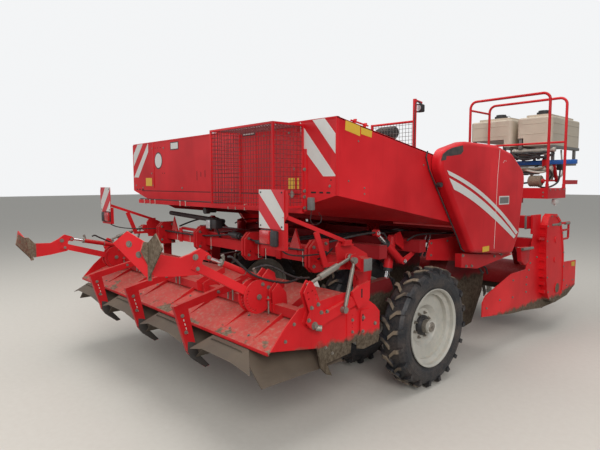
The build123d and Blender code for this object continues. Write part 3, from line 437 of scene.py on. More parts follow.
def piece(name, build, finish, body, smooth=True, mirrored=False):
    shape = bmesh.new()
    build(shape)
    if mirrored:
        bmesh.ops.scale(shape, vec=(-1, 1, 1), verts=shape.verts)
        bmesh.ops.reverse_faces(shape, faces=shape.faces)
    bmesh.ops.translate(shape, vec=(0, axleY, 0), verts=shape.verts)
    mesh = bpy.data.meshes.new(name)
    shape.to_mesh(mesh)
    shape.free()
    made = bpy.data.objects.new(name, mesh)
    bpy.context.scene.collection.objects.link(made)
    mesh.materials.append(finishes[finish])
    if smooth:
        for polygon in mesh.polygons:
            polygon.use_smooth = True
        mesh.set_sharp_from_angle(angle=math.radians(32))
    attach(made, body)
    return made


# a builder of plain forms, each given as its function and the values that follow the mesh
def forms(*parts):
    def build(shape):
        for add, *values in parts:
            add(shape, *values)
    return build


# the same form on the right and, mirrored, on the left
def pair(name, build, finish, body, smooth=True):
    piece(name + "Right", build, finish, body, smooth)
    piece(name + "Left", build, finish, body, smooth, mirrored=True)


# a held hose or pipe along a smooth line
# across gives (other body, start, end) of a hose that crosses a hinge; these values are not used, and such a
# hose is held by no body
def hose(name, points, radius, finish, body, across=None):
    curve = bpy.data.curves.new(name, "CURVE")
    curve.dimensions = "3D"
    curve.bevel_depth = radius
    curve.bevel_resolution = 3
    curve.resolution_u = 8
    spline = curve.splines.new("NURBS")
    spline.points.add(len(points) - 1)
    for point, (x, y, z) in zip(spline.points, points):
        point.co = (x, y + axleY, z, 1.0)
    spline.order_u = 3
    spline.use_endpoint_u = True
    curve.use_fill_caps = True
    rough = bpy.data.objects.new(name + "Line", curve)
    bpy.context.scene.collection.objects.link(rough)
    bpy.context.view_layer.update()
    mesh = bpy.data.meshes.new_from_object(rough.evaluated_get(bpy.context.evaluated_depsgraph_get()))
    bpy.data.objects.remove(rough)
    mesh.name = name
    made = bpy.data.objects.new(name, mesh)
    bpy.context.scene.collection.objects.link(made)
    mesh.materials.clear()
    mesh.materials.append(finishes[finish])
    for polygon in mesh.polygons:
        polygon.use_smooth = True
    if across:
        other, start, end = across
        start[1] + axleY
        end[1] + axleY
        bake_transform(made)
    else:
        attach(made, body)


# hopper walls: warning stripes, blank speed disc, plates and labels, seams, bolts, and painted shade of the
# slots and holes
hopperLook = {
    "wallY": -1.304,
    "sideX": 1.770,
    "frontY": 0.640,
    "film": 0.0012,
    "stripes": [
        [(1.369, 2.405), (1.765, 1.973), (1.63, 1.974), (1.392, 2.208)],
        [(1.512, 2.407), (1.644, 2.407), (1.768, 2.274), (1.768, 2.126)],
        [(-1.64, 2.405), (-1.488, 2.405), (-1.765, 2.14), (-1.765, 2.285)],
        [(-1.347, 2.405), (-1.347, 2.30), (-1.635, 1.998), (-1.765, 2.0)],
    ],
    "discCentre": (-1.086, 2.188),
    "discRadius": 0.097,
    # blank plates: x0, x1, z0, z1
    "plates": [(-0.787, -0.602, 2.294, 2.380), (0.590, 0.779, 2.345, 2.384)],
    "yellowRear": [(-1.430, -1.268, 1.893, 1.989), (1.226, 1.355, 1.876, 1.965)],
    # blank labels on the right wall as y, z corners
    "yellowSide": [
        [(-1.217, 2.316), (-1.211, 2.388), (-1.048, 2.358), (-1.047, 2.280)],
        [(-1.036, 2.298), (-1.036, 2.351), (-0.904, 2.330), (-0.910, 2.278)],
    ],
    "wallBolts": [
        (-1.508, 1.873), (-0.535, 1.873), (0.411, 1.862), (-1.232, 2.337), (-0.948, 2.327),
        (-1.261, 2.043), (0.907, 2.329), (1.236, 2.329), (1.30, 2.036), (-1.232, 1.90), (-1.70, 1.90),
        (1.70, 1.90),
    ],
    "pinHoles": [
        (-1.098, 2.335), (-1.16, 2.335), (-1.03, 2.335), (-0.99, 2.04), (-0.94, 2.04), (1.712, 1.945),
    ],
    "sideBolts": [
        (-1.065, 2.241), (-1.174, 1.938), (-0.990, 1.884), (-0.989, 1.837), (-0.185, 2.081), (0.35, 1.99),
        (0.35, 1.62),
    ],
    "strapBolts": [(1.433, 2.031), (1.433, 1.861), (1.433, 1.814), (1.433, 1.728)],
    "slots": [(1.495, 1.551), (1.588, 1.628), (1.664, 1.704)],
    "slotZ": 1.851,
    "runs": [(-0.223, 1.955, 2.050), (-0.065, 1.985, 2.055), (-0.145, 1.99, 2.04)],
}


def buildStripes(shape):
    wall = hopperLook["wallY"]
    for outline in hopperLook["stripes"]:
        addPlate(shape, atY(wall, outline), (0, -hopperLook["film"], 0))
    x, z = hopperLook["discCentre"]
    radius = hopperLook["discRadius"] * 0.86
    addRod(shape, (x, wall, z), (x, wall - hopperLook["film"] * 2, z), radius, 40)


def buildDiscRing(shape):
    x, z = hopperLook["discCentre"]
    wall = hopperLook["wallY"]
    addRod(shape, (x, wall, z), (x, wall - hopperLook["film"], z), hopperLook["discRadius"], 48)
    for x0, x1, z0, z1 in hopperLook["plates"]:
        addBox(shape, x0, x1, wall - 0.002, wall, z0, z1)


def buildPlateFaces(shape):
    wall = hopperLook["wallY"]
    for x0, x1, z0, z1 in hopperLook["plates"]:
        addBox(shape, x0 + 0.012, x1 - 0.012, wall - 0.003, wall - 0.0005, z0 + 0.010, z1 - 0.010)


def buildHopperLabels(shape):
    wall = hopperLook["wallY"]
    for x0, x1, z0, z1 in hopperLook["yellowRear"]:
        addBox(shape, x0, x1, wall - 0.0015, wall, z0, z1, 0.0004)
    for outline in hopperLook["yellowSide"]:
        addPlate(shape, atX(hopperLook["sideX"], outline), (0.0015, 0, 0))


def hopperTop(y):
    return 2.412 - 0.182 * (y + 1.304)


# folded lips, the wing seams and the stiffening edges of the sheet walls
def buildSeams(shape):
    wall = hopperLook["wallY"]
    side = hopperLook["sideX"]
    front = hopperLook["frontY"]
    addBox(shape, 0.796, 0.804, wall - 0.004, wall, 1.872, 2.402, 0.001)
    for x in (-1.212, 1.322):
        addBox(shape, x - 0.012, x + 0.012, wall - 0.005, wall, 1.872, 2.402, 0.0015)
    addBox(shape, -side, side, wall - 0.001, wall + 0.030, 2.392, 2.4125, 0.003)
    for mirror in (1, -1):
        x = mirror * (side - 0.013)
        start = (x, wall, hopperTop(wall) - 0.007)
        addBar(shape, start, (x, front, hopperTop(front) - 0.007), 0.026, 0.014, 0.003)
        x = mirror * side
        outer = x + 0.0005 * mirror + 0.002
        addBox(shape, x - 0.014, outer, wall - 0.0015, wall + 0.022, 1.835, 2.400, 0.002)
    top = hopperTop(front)
    addBox(shape, -side, side, front - 0.030, front + 0.0005, top - 0.020, top, 0.003)
    # pegs of a folding rim on the top edge
    x = side - 0.02
    for y in (-1.10, -0.98):
        addBar(shape, (x, y, hopperTop(y) - 0.004), (x, y + 0.02, hopperTop(y) + 0.034), 0.03, 0.012, 0.002)
    addRod(shape, (x, -1.13, hopperTop(-1.1) + 0.022), (x, -0.93, hopperTop(-0.95) + 0.022), 0.007, 10)


def buildHopperBolts(shape):
    wall = hopperLook["wallY"]
    addBolts(shape, atY(wall, hopperLook["wallBolts"]), (0, -1, 0), 0.010, 0.006)
    side = hopperLook["sideX"]
    for mirror in (1, -1):
        addBolts(shape, atX(mirror * side, hopperLook["sideBolts"]), (mirror, 0, 0), 0.007, 0.004)
    addBolts(shape, atY(wall - 0.0085, hopperLook["strapBolts"]), (0, -1, 0), 0.013, 0.010)


# painted shade: the groove line, the slots and the pin holes are flat near-black marks on the wall, not
# openings; the runs are thin dark strips in the same finish
def buildHopperSlotShade(shape):
    wall = hopperLook["wallY"]
    z = hopperLook["slotZ"]
    addBox(shape, -1.55, 1.38, wall - 0.0012, wall, z - 0.020, z - 0.012)
    for x0, x1 in hopperLook["slots"]:
        for mirror in (1, -1):
            low, high = sorted((mirror * x0, mirror * x1))
            addBox(shape, low, high, wall - 0.0012, wall, z - 0.007, z + 0.006, 0.0005)
    for x, z in hopperLook["pinHoles"]:
        addRod(shape, (x, wall, z), (x, wall - 0.001, z), 0.006, 12)
    for x, z0, z1 in hopperLook["runs"]:
        addBox(shape, x - 0.004, x + 0.004, wall - 0.0008, wall, z0, z1)


piece("hopperStripes", buildStripes, "white", "hopper", smooth=False)
piece("speedDiscRing", buildDiscRing, "black", "hopper", smooth=False)
piece("hopperPlates", buildPlateFaces, "white", "hopper", smooth=False)
piece("hopperLabels", buildHopperLabels, "yellow", "hopper", smooth=False)
piece("hopperSeams", buildSeams, "redHopper", "hopper")
piece("hopperBolts", buildHopperBolts, "zinc", "hopper")
piece("hopperSlots", buildHopperSlotShade, "gap", "hopper", smooth=False)

# wire guard: welded mesh inside the cage bars, with its ties and channel straps
cageLook = {
    "x0": 0.552, "x1": 1.407, "y0": -1.614, "y1": -1.306, "z0": 1.737, "z1": 2.375,
    "pitch": 0.034, "wire": 0.0021, "lap": 0.003,
    "ties": [-1.43, -1.276, -1.144, -0.545, -0.427, 0.381, 0.503, 0.645, 0.93, 1.18],
    "channelLow": 1.684, "channelHigh": 1.728,
    "tag": [(1.30, 1.80), (1.33, 1.83), (1.30, 1.87), (1.27, 1.83)],
}


def buildMesh(shape):
    x0, x1, y0, y1, z0, z1 = [cageLook[key] for key in ("x0", "x1", "y0", "y1", "z0", "z1")]
    pitch, wire, lap = cageLook["pitch"], cageLook["wire"], cageLook["lap"]
    rods = []
    for index in range(1, int((x1 - x0) / pitch)):
        x = x0 + index * pitch
        rods += [((x, y0, z0), (x, y0, z1)), ((x, y0, z1), (x, y1, z1))]
    for index in range(1, int((z1 - z0) / pitch) + 1):
        z = z0 + index * pitch
        if z < z1:
            rods += [((x0, y0 - lap, z), (x1, y0 - lap, z))]
            rods += [((x, y0, z), (x, y1, z)) for x in (x0, x1)]
    for index in range(1, int((y1 - y0) / pitch) + 1):
        y = y0 + index * pitch
        if y < y1:
            rods += [((x + lap, y, z0), (x + lap, y, z1)) for x in (x0, x1)]
            rods += [((x0, y, z1 - lap), (x1, y, z1 - lap))]
    for start, end in rods:
        addRod(shape, start, end, wire, 5)


def buildTies(shape):
    wall = hopperLook["wallY"]
    for x in cageLook["ties"]:
        low = cageLook["channelLow"] - 0.004
        high = cageLook["channelHigh"] + 0.006
        addBar(shape, (x, wall - 0.029, low), (x + 0.004, wall - 0.029, high), 0.005, 0.004)
        addBar(shape, (x, wall - 0.030, low), (x, wall - 0.002, low), 0.005, 0.003)
        addBar(shape, (x + 0.004, wall - 0.030, high), (x + 0.004, wall - 0.002, high), 0.005, 0.003)
        addBox(shape, x - 0.004, x + 0.008, wall - 0.035, wall - 0.027, high - 0.010, high, 0.001)


piece("cageMesh", buildMesh, "wire", "hopper", smooth=False)
piece("channelTies", buildTies, "tie", "hopper", smooth=False)
piece("cageTag", forms(
    (addPlate, atY(-1.33, cageLook["tag"]), (0, -0.003, 0)),
), "zinc", "hopper", smooth=False)
hose("channelCable", [
    (-1.55, -1.325, 1.736), (-0.9, -1.326, 1.735), (-0.2, -1.325, 1.737), (0.50, -1.326, 1.735),
], 0.006, "hose", "hopper")
print("hopper")

# warning boards: red field between white diagonals, corner bolts, lamp below
boardLook = {
    "half": 0.141, "y": -1.756, "back": -1.750, "low": 1.597, "high": 1.879, "centre": 1.558,
    "film": 0.0015,
    # bars as shares of the board's width and height, falling outwards
    "bars": [
        [(0.5, 1.0), (1.0, 1.0), (1.0, 0.42)],
        [(0.0, 0.90), (0.0, 0.46), (0.47, 0.0), (0.92, 0.0)],
    ],
    # the plate beside the board, outwards from its edge
    "flap": [(0.0, 1.862), (0.020, 1.872), (0.036, 1.83), (0.030, 1.69), (0.0, 1.66)],
    "bolts": [(-0.120, 1.618), (0.118, 1.618), (-0.118, 1.858), (0.120, 1.858)],
}


def buildBoardBars(shape):
    look = boardLook
    half = look["half"]
    for outline in look["bars"]:
        points = []
        for across, up in outline:
            height = look["low"] + (look["high"] - look["low"]) * up
            points.append((look["centre"] - half + 2 * half * across, height))
        addPlate(shape, atY(look["y"], points), (0, -look["film"], 0))
        addPlate(shape, atY(look["back"], points), (0, look["film"], 0))


# white reflective film under the bars, on both faces
def buildBoardFilm(shape):
    look = boardLook
    half = look["half"] - 0.0005
    film = look["film"] * 0.5
    low = look["low"] + 0.001
    high = look["high"] - 0.001
    for start, end in ((look["y"] - film, look["y"]), (look["back"], look["back"] + film)):
        addBox(shape, look["centre"] - half, look["centre"] + half, start, end, low, high)


def buildBoardBack(shape):
    centre = boardLook["centre"]
    back = boardLook["back"]
    addPlate(shape, [(centre + 0.138 + out, back, z) for out, z in boardLook["flap"]], (0, 0.010, 0))
    addBar(shape, (centre, back + 0.02, 1.62), (centre, back + 0.02, 1.84), 0.05, 0.012, 0.003)
    for low, high in ((1.66, 1.69), (1.79, 1.82)):
        addBox(shape, centre - 0.11, centre + 0.11, back + 0.003, back + 0.012, low, high, 0.002)


def buildBoardBolts(shape):
    look = boardLook
    places = [(look["centre"] + across, look["y"] - look["film"], z) for across, z in look["bolts"]]
    addBolts(shape, places, (0, -1, 0), 0.006, 0.004)


pair("boardFilm", buildBoardFilm, "white", "frame", smooth=False)
pair("boardBars", buildBoardBars, "signRed", "frame", smooth=False)
pair("boardBack", buildBoardBack, "redTool", "frame")
pair("boardLens", forms((addBox, 1.443, 1.563, -1.780, -1.746, 1.486, 1.585, 0.008)), "reflector", "frame")
pair("boardLamp", forms(
    (addBox, 1.570, 1.636, -1.784, -1.746, 1.474, 1.588, 0.012),
    (addBox, 1.436, 1.568, -1.758, -1.746, 1.478, 1.592, 0.003),
), "black", "frame")
pair("boardBolts", buildBoardBolts, "black", "frame")

# side covers: sweeping bands, seam, blank plates, scuff patch, rubber edge
coverLook = {
    "x": 1.8803,
    "thick": 0.0015,
    # start, two handles and end of each band's upper and lower edge, along y and up z
    "thin": [
        [(0.020, 2.036), (0.50, 1.93), (1.00, 1.72), (1.515, 1.370)],
        [(0.056, 1.994), (0.50, 1.88), (0.97, 1.69), (1.472, 1.346)],
    ],
    "wide": [
        [(0.057, 1.967), (0.50, 1.85), (0.98, 1.64), (1.467, 1.332)],
        [(0.148, 1.861), (0.50, 1.77), (0.90, 1.58), (1.419, 1.309)],
    ],
    "steps": 22,
    "seam": [(1.027, 2.262), (0.995, 1.992), (0.980, 1.578), (0.965, 1.235)],
    "plate": (1.044, 1.274, 1.692, 1.782),
    "label": (0.719, 0.858, 1.222, 1.276),
    "scuff": [
        (-0.075, 2.120), (-0.053, 2.178), (0.02, 2.215), (0.10, 2.240), (0.286, 2.272), (0.297, 2.220),
        (0.256, 2.187), (0.082, 2.166), (0.008, 2.163), (0.0, 2.127),
    ],
    "edgeX": 1.786,
    "edge": [
        (-0.150, 2.205), (-0.172, 2.150), (-0.120, 2.040), (0.16, 1.68), (0.38, 1.40), (0.47, 1.27),
        (0.53, 1.24),
    ],
    # blank label in front of the cover, on the tiller's side plate
    "frontLabel": [(3.450, 0.752), (3.575, 0.740), (3.570, 0.808), (3.442, 0.812)],
    "frontLabelX": 1.802,
}


def buildCoverBands(shape):
    x = coverLook["x"]
    for band in (coverLook["thin"], coverLook["wide"]):
        upper, lower = [
            interpolate_bezier(*[Vector((x, y, z)) for y, z in edge], coverLook["steps"]) for edge in band
        ]
        addPlate(shape, list(upper) + list(reversed(lower)), (coverLook["thick"], 0, 0))
    y0, y1, z0, z1 = coverLook["plate"]
    addBox(shape, x, x + 0.002, y0, y1, z0, z1)
    seam = atX(x + 0.0006, coverLook["seam"])
    for start, end in zip(seam, seam[1:]):
        addRod(shape, start, end, 0.0022, 6)
    addBar(shape, (x, 1.115, 2.13), (x, 1.135, 2.155), 0.004, 0.003)
    addBar(shape, (x, 1.135, 2.155), (x, 1.185, 2.15), 0.004, 0.003)


def buildPlateFrame(shape):
    x = coverLook["x"]
    y0, y1, z0, z1 = coverLook["plate"]
    addBox(shape, x + 0.001, x + 0.0026, y0 + 0.014, y1 - 0.014, z0 + 0.012, z1 - 0.012)


def buildCoverLabel(shape):
    x = coverLook["x"]
    y0, y1, z0, z1 = coverLook["label"]
    addBox(shape, x, x + 0.0015, y0, y1, z0, z1)
    addPlate(shape, atX(coverLook["frontLabelX"], coverLook["frontLabel"]), (0.0015, 0, 0))


def buildScuff(shape):
    addPlate(shape, atX(coverLook["x"] - 0.0008, coverLook["scuff"]), (0.0016, 0, 0))


def buildCoverEdge(shape):
    edge = atX(coverLook["edgeX"], coverLook["edge"])
    for start, end in zip(edge, edge[1:]):
        addRod(shape, start, end, 0.006, 8)
    addRod(shape, (1.80, 0.000, 1.905), (1.842, -0.006, 1.905), 0.022, 14)


pair("coverBands", buildCoverBands, "white", "frame", smooth=False)
pair("coverPlate", buildPlateFrame, "grey", "frame", smooth=False)
pair("coverLabel", buildCoverLabel, "yellow", "frame", smooth=False)
pair("coverScuff", buildScuff, "scuff", "frame", smooth=False)
pair("coverEdge", buildCoverEdge, "black", "frame")
print("covers and boards")

# wheels: studs, black hub drum and turned cap
wheelLook = {
    "outer": 1.694, "inner": 0.870, "centreZ": 0.570, "discOut": -0.040, "studs": 8, "studRing": 0.121,
    "drum": 0.086, "drumOut": 0.006, "cap": 0.0635, "capOut": 0.050, "tipOut": 0.082,
}


def buildStuds(x):
    def build(shape):
        look = wheelLook
        face = x + look["discOut"]
        centre = look["centreZ"]
        cap = x + look["capOut"]
        tip = x + look["tipOut"]
        for index in range(look["studs"]):
            turn = math.tau * (index + 0.5) / look["studs"]
            y = look["studRing"] * math.cos(turn)
            z = centre + look["studRing"] * math.sin(turn)
            addBolts(shape, [(face, y, z)], (1, 0, 0), 0.015, 0.014)
            addRod(shape, (face + 0.015, y, z), (face + 0.030, y, z), 0.007, 10)
        addRod(shape, (x + 0.004, 0, centre), (cap, 0, centre), look["cap"] + 0.002, 28)
        addRod(shape, (cap, 0, centre), (tip, 0, centre), look["cap"], 28, 0.042)
        addRod(shape, (tip, 0, centre), (tip + 0.008, 0, centre), 0.010, 10)
    return build


def buildDrum(x):
    def build(shape):
        look = wheelLook
        z = look["centreZ"]
        addRod(shape, (x + look["discOut"] - 0.004, 0, z), (x - 0.018, 0, z), 0.096, 32)
        addRod(shape, (x - 0.018, 0, z), (x + look["drumOut"], 0, z), look["drum"], 32, 0.074)
    return build


for where in ("outer", "inner"):
    for side, mirrored in (("right", False), ("left", True)):
        name = where + side.capitalize()
        body = "wheel_" + where + "_" + side
        piece("wheelStuds" + name, buildStuds(wheelLook[where]), "zinc", body, mirrored=mirrored)
        piece("wheelDrum" + name, buildDrum(wheelLook[where]), "black", body, mirrored=mirrored)
print("wheels")

# toolbar: clamp bolts, end caps, ties, reflectors, stays, plugs, work lamp and lines
toolbarLook = {
    "y": -1.050, "z": 1.295, "half": 0.050, "clamps": [-1.350, -0.450, 0.450, 1.350],
    "clampBolts": [(-1.170, 1.395), (-1.170, 1.235), (-1.030, 1.415), (-1.030, 1.205)],
    "ties": [-0.30, 0.546, 0.66, 1.177, -0.75, -1.05],
    "triangle": [(1.098, 1.520), (1.163, 1.355), (1.017, 1.350)],
    "triangleStand": [(1.098, 1.535), (1.178, 1.345), (1.002, 1.342)],
}


def buildClampBolts(shape):
    y = toolbarLook["y"]
    for centre in toolbarLook["clamps"]:
        for side in (1, -1):
            places = atX(centre + side * 0.034, toolbarLook["clampBolts"])
            addBolts(shape, places, (side, 0, 0), 0.014, 0.011)
        for z in (1.385, 1.270):
            addRod(shape, (centre - 0.034, y - 0.10, z), (centre + 0.034, y - 0.10, z), 0.008, 10)


def buildEndCap(shape):
    y = toolbarLook["y"]
    z = toolbarLook["z"]
    half = toolbarLook["half"] - 0.002
    addBox(shape, 1.858, 1.866, y - half, y + half, z - half, z + half, 0.003)


def buildToolTies(shape):
    y = toolbarLook["y"]
    z = toolbarLook["z"]
    half = toolbarLook["half"] + 0.003
    for x in toolbarLook["ties"]:
        addBox(shape, x - 0.003, x + 0.003, y - half, y - half + 0.003, z - half, z + half)
        addBox(shape, x - 0.003, x + 0.003, y - half, y + half, z + half - 0.003, z + half)
        addBar(shape, (x, y - half, z - half), (x + 0.012, y - half - 0.006, z - half - 0.035), 0.004, 0.002)


def buildTriangle(shape):
    for side in (1, -1):
        addPlate(shape, [(side * x, -1.112, z) for x, z in toolbarLook["triangle"]], (0, -0.006, 0), 0.001)


def buildTriangleStand(shape):
    for side in (1, -1):
        outline = [(side * x, -1.106, z) for x, z in toolbarLook["triangleStand"]]
        addPlate(shape, outline, (0, -0.004, 0))
        addBox(shape, side * 1.09 - 0.02, side * 1.09 + 0.02, -1.106, -1.10, 1.30, 1.36)


# upper pipe over the far half, low rail between the clamps
def buildStays(shape):
    addBar(shape, (-1.00, -1.06, 1.392), (0.10, -1.06, 1.372), 0.030, 0.030, 0.003)
    addBox(shape, -0.42, 0.42, -1.075, -1.035, 1.346, 1.366, 0.002)
    addBox(shape, 0.50, 1.30, -0.98, -0.94, 1.330, 1.372, 0.003)
    for x in (-0.95, -0.62, 0.62, 0.86):
        addBox(shape, x - 0.03, x + 0.03, -1.118, -1.10, 1.235, 1.40, 0.003)


piece("clampBolts", buildClampBolts, "zinc", "frame")
pair("toolbarCap", buildEndCap, "grey", "frame")
piece("toolbarTies", buildToolTies, "tie", "frame", smooth=False)
piece("rearReflectors", buildTriangle, "reflector", "frame", smooth=False)
piece("reflectorStands", buildTriangleStand, "red", "frame", smooth=False)
piece("toolbarStays", buildStays, "redTool", "frame")
piece("toolbarPlugs", forms(
    (addRod, (0.170, -1.13, 1.405), (0.270, -1.13, 1.398), 0.036, 18),
    (addRod, (0.270, -1.13, 1.398), (0.300, -1.13, 1.396), 0.026, 18),
    (addRod, (0.10, -1.13, 1.408), (0.170, -1.13, 1.405), 0.022, 14),
    (addBox, 0.552, 0.640, -1.150, -1.105, 1.350, 1.384, 0.006),
    (addBox, 0.640, 0.690, -1.140, -1.112, 1.356, 1.378, 0.005),
), "black", "frame")
piece("workLamp", forms(
    (addBox, -0.150, -0.058, -1.195, -1.105, 1.448, 1.548, 0.012),
    (addBox, -0.240, -0.150, -1.198, -1.180, 1.440, 1.546, 0.004),
    (addBar, (-0.150, -1.12, 1.440), (-0.150, -1.08, 1.346), 0.030, 0.008, 0.001),
), "black", "frame")
piece("workLampGlass", forms(
    (addBox, -0.232, -0.158, -1.203, -1.197, 1.450, 1.536, 0.003),
), "lampGlass", "frame")
lampWire = [
    (1.60, -1.74, 1.50), (1.60, -1.70, 1.43), (1.57, -1.55, 1.38), (1.52, -1.30, 1.36),
    (1.50, -1.13, 1.355),
]
toolHoses = [
    # name, radius, points
    ("toolbarLineA", 0.009, [
        (-1.50, -1.118, 1.342), (-0.9, -1.124, 1.338), (-0.4, -1.135, 1.345), (0.1, -1.125, 1.40),
        (0.16, -1.13, 1.406),
    ]),
    ("toolbarLineB", 0.008, [
        (0.30, -1.13, 1.396), (0.42, -1.16, 1.40), (0.55, -1.14, 1.37), (0.8, -1.12, 1.352),
        (1.15, -1.118, 1.345), (1.48, -1.115, 1.36),
    ]),
    ("toolbarLineC", 0.007, [
        (1.16, -1.112, 1.30), (1.24, -1.118, 1.272), (1.36, -1.12, 1.285), (1.48, -1.125, 1.325),
        (1.56, -1.13, 1.40),
    ]),
    ("lampLine", 0.006, lampWire),
    ("lampLineFar", 0.006, [(-x, y, z) for x, y, z in lampWire]),
]
for name, radius, points in toolHoses:
    hose(name, points, radius, "hose", "frame")
print("toolbar")

# ridging hood: bolts, clamp plates, steel points, tine slots, wear strip and side bolts
hoodLook = {
    "lip": (-1.975, 0.800), "front": (-1.270, 1.060), "tubeZ": 0.9347, "half": 1.800,
    "tines": [-0.900, 0.0, 0.900], "rows": [-1.35, -0.45, 0.45, 1.35], "tineFace": 0.0205,
    "tineBolts": [(-2.128, 0.905), (-2.100, 0.770)],
    "tip": [
        (-2.045, 0.680), (-2.017, 0.668), (-1.986, 0.566), (-1.892, 0.456), (-1.932, 0.446),
        (-2.040, 0.536), (-2.088, 0.606), (-2.086, 0.690),
    ],
    "tail": [
        (-0.375, -2.100, 0.652), (-0.190, -2.105, 0.698), (0.190, -2.105, 0.698), (0.375, -2.085, 0.652),
        (0.230, -1.985, 0.764), (-0.230, -1.985, 0.764),
    ],
    # out from the side, bolts along y and up z, spanner size, height
    "sideBolts": [
        (0.046, [(-1.634, 1.057), (-1.571, 1.071), (-1.540, 1.008), (-1.661, 0.973)], 0.014, 0.011),
        (0.046, [(-1.606, 0.925)], 0.026, 0.016),
        (0.033, [(-1.300, 0.974), (-1.468, 1.000)], 0.013, 0.010),
        (0.020, [(-1.050, 0.873), (-1.056, 0.764)], 0.014, 0.010),
        (0.007, [(-1.163, 0.872), (-1.163, 0.778)], 0.012, 0.009),
        (0.002, [(-1.838, 0.850), (-1.758, 0.955), (-1.45, 0.72), (-1.38, 0.66)], 0.012, 0.008),
        (0.012, [(-0.905, 0.800)], 0.020, 0.012),
    ],
}


def onHood(x, y):
    lipY, lipZ = hoodLook["lip"]
    frontY, frontZ = hoodLook["front"]
    return (x, y, lipZ + (y - lipY) / (frontY - lipY) * (frontZ - lipZ))


def buildHoodBolts(shape):
    lipY, lipZ = hoodLook["lip"]
    frontY, frontZ = hoodLook["front"]
    slope = Vector((0, lipZ - frontZ, frontY - lipY)).normalized()
    for row in hoodLook["rows"]:
        for off in (-0.120, 0.120):
            for y in (-1.90, -1.72):
                addBolts(shape, [onHood(row + off, y)], slope, 0.011, 0.008)
    tube = hoodLook["tubeZ"]
    face = hoodLook["tineFace"]
    for x in hoodLook["tines"]:
        for off in (-0.034, 0.034):
            addRod(shape, (x + off, -1.668, tube + 0.02), (x + off, -1.668, tube + 0.150), 0.007, 10)
            for y in (-1.668, -1.552):
                addBolts(shape, [(x + off, y, tube + 0.140)], (0, 0, 1), 0.013, 0.012)
        for side in (1, -1):
            addBolts(shape, atX(x + side * face, hoodLook["tineBolts"]), (side, 0, 0), 0.014, 0.010)
        addBolts(shape, [(x + face, -1.80, 1.043)], (1, 0, 0), 0.013, 0.012)


def buildClampPlates(shape):
    tube = hoodLook["tubeZ"]
    for x in hoodLook["tines"]:
        for y in (-1.684, -1.570):
            addBox(shape, x - 0.050, x + 0.050, y, y + 0.034, tube + 0.126, tube + 0.140, 0.002)
    outline = [(-1.690, 0.02), (-1.700, 0.110), (-1.600, 0.150), (-1.520, 0.060), (-1.54, -0.01)]
    for x in (-0.52, -0.40, 0.40, 0.52):
        addPlate(shape, atX(x, [(y, tube + z) for y, z in outline]), (0.010, 0, 0))


# steel tips slipped over the lower end of each tine
def buildTips(shape):
    for x in hoodLook["tines"]:
        addPlate(shape, atX(x - 0.020, hoodLook["tip"]), (0.040, 0, 0), 0.003)


def buildTineSlots(shape):
    for x in hoodLook["tines"]:
        for step in range(4):
            top = 0.875 - step * 0.034
            y = -2.118 + step * 0.010
            for side in (0.0183, -0.0183):
                addBar(shape, (x + side, y, top), (x + side, y + 0.005, top - 0.018), 0.0012, 0.007)


def buildFormerTails(shape):
    for row in hoodLook["rows"]:
        addPlate(shape, [(row + x, y, z) for x, y, z in hoodLook["tail"]], (0, 0.004, 0.006))


def buildSideBolts(shape):
    half = hoodLook["half"]
    for out, places, spanner, height in hoodLook["sideBolts"]:
        addBolts(shape, atX(half + out, places), (1, 0, 0), spanner, height)
    addRod(shape, (half + 0.046, -1.590, 0.905), (half + 0.076, -1.560, 0.902), 0.022, 14)
    addRod(shape, (1.75, -0.905, 0.800), (1.812, -0.905, 0.800), 0.016, 14)


# painted shade: thin near-black boxes on the hood sides stand for the shade inside two slots
def buildSlotShade(shape):
    half = hoodLook["half"]
    addBox(shape, half + 0.0415, half + 0.043, -1.101, -1.087, 1.043, 1.109)
    addBox(shape, half + 0.020, half + 0.0212, -1.060, -1.046, 0.845, 0.900)


hoodPieces = [
    # name, builder, finish
    ("hoodBolts", buildHoodBolts, "zinc"),
    ("hoodClamps", buildClampPlates, "redTool"),
    ("tinePoints", buildTips, "blade"),
    ("tineSlots", buildTineSlots, "tie"),
    ("formerTails", buildFormerTails, "steel"),
    # wear strip screwed along the hood's rear lip
    ("hoodLipStrip", forms(
        (addBar, (-1.785, -1.979, 0.788), (1.785, -1.979, 0.788), 0.006, 0.024, 0.002),
    ), "redTool"),
]
for name, build, finish in hoodPieces:
    piece(name, build, finish, "ridging_hood")
pair("hoodSideBolts", buildSideBolts, "zinc", "ridging_hood")
pair("hoodSideSlots", buildSlotShade, "gap", "ridging_hood")
print("hood")

# furrow-dam paddles: bolts on the blades and arms, ram rods and hoses
paddleLook = {
    "x": 1.350, "pivot": (-1.750, 1.075), "corner": (-2.588, 1.430), "out": 0.829, "back": 0.559,
    "tip": (-2.160, 1.414), "base": (-1.712, 1.205), "leftDrop": 12.0,
    "armBolts": [(-2.160, 1.414), (-2.260, 1.425), (-2.250, 1.345)],
}


# the left paddle hangs lower about its pivot
def dropped(points, side):
    if side > 0:
        return [Vector(point) for point in points]
    y, z = paddleLook["pivot"]
    drop = Matrix.Rotation(math.radians(paddleLook["leftDrop"]), 4, "X")
    turn = Matrix.Translation((0, y, z)) @ drop @ Matrix.Translation((0, -y, -z))
    return [turn @ Vector(point) for point in points]


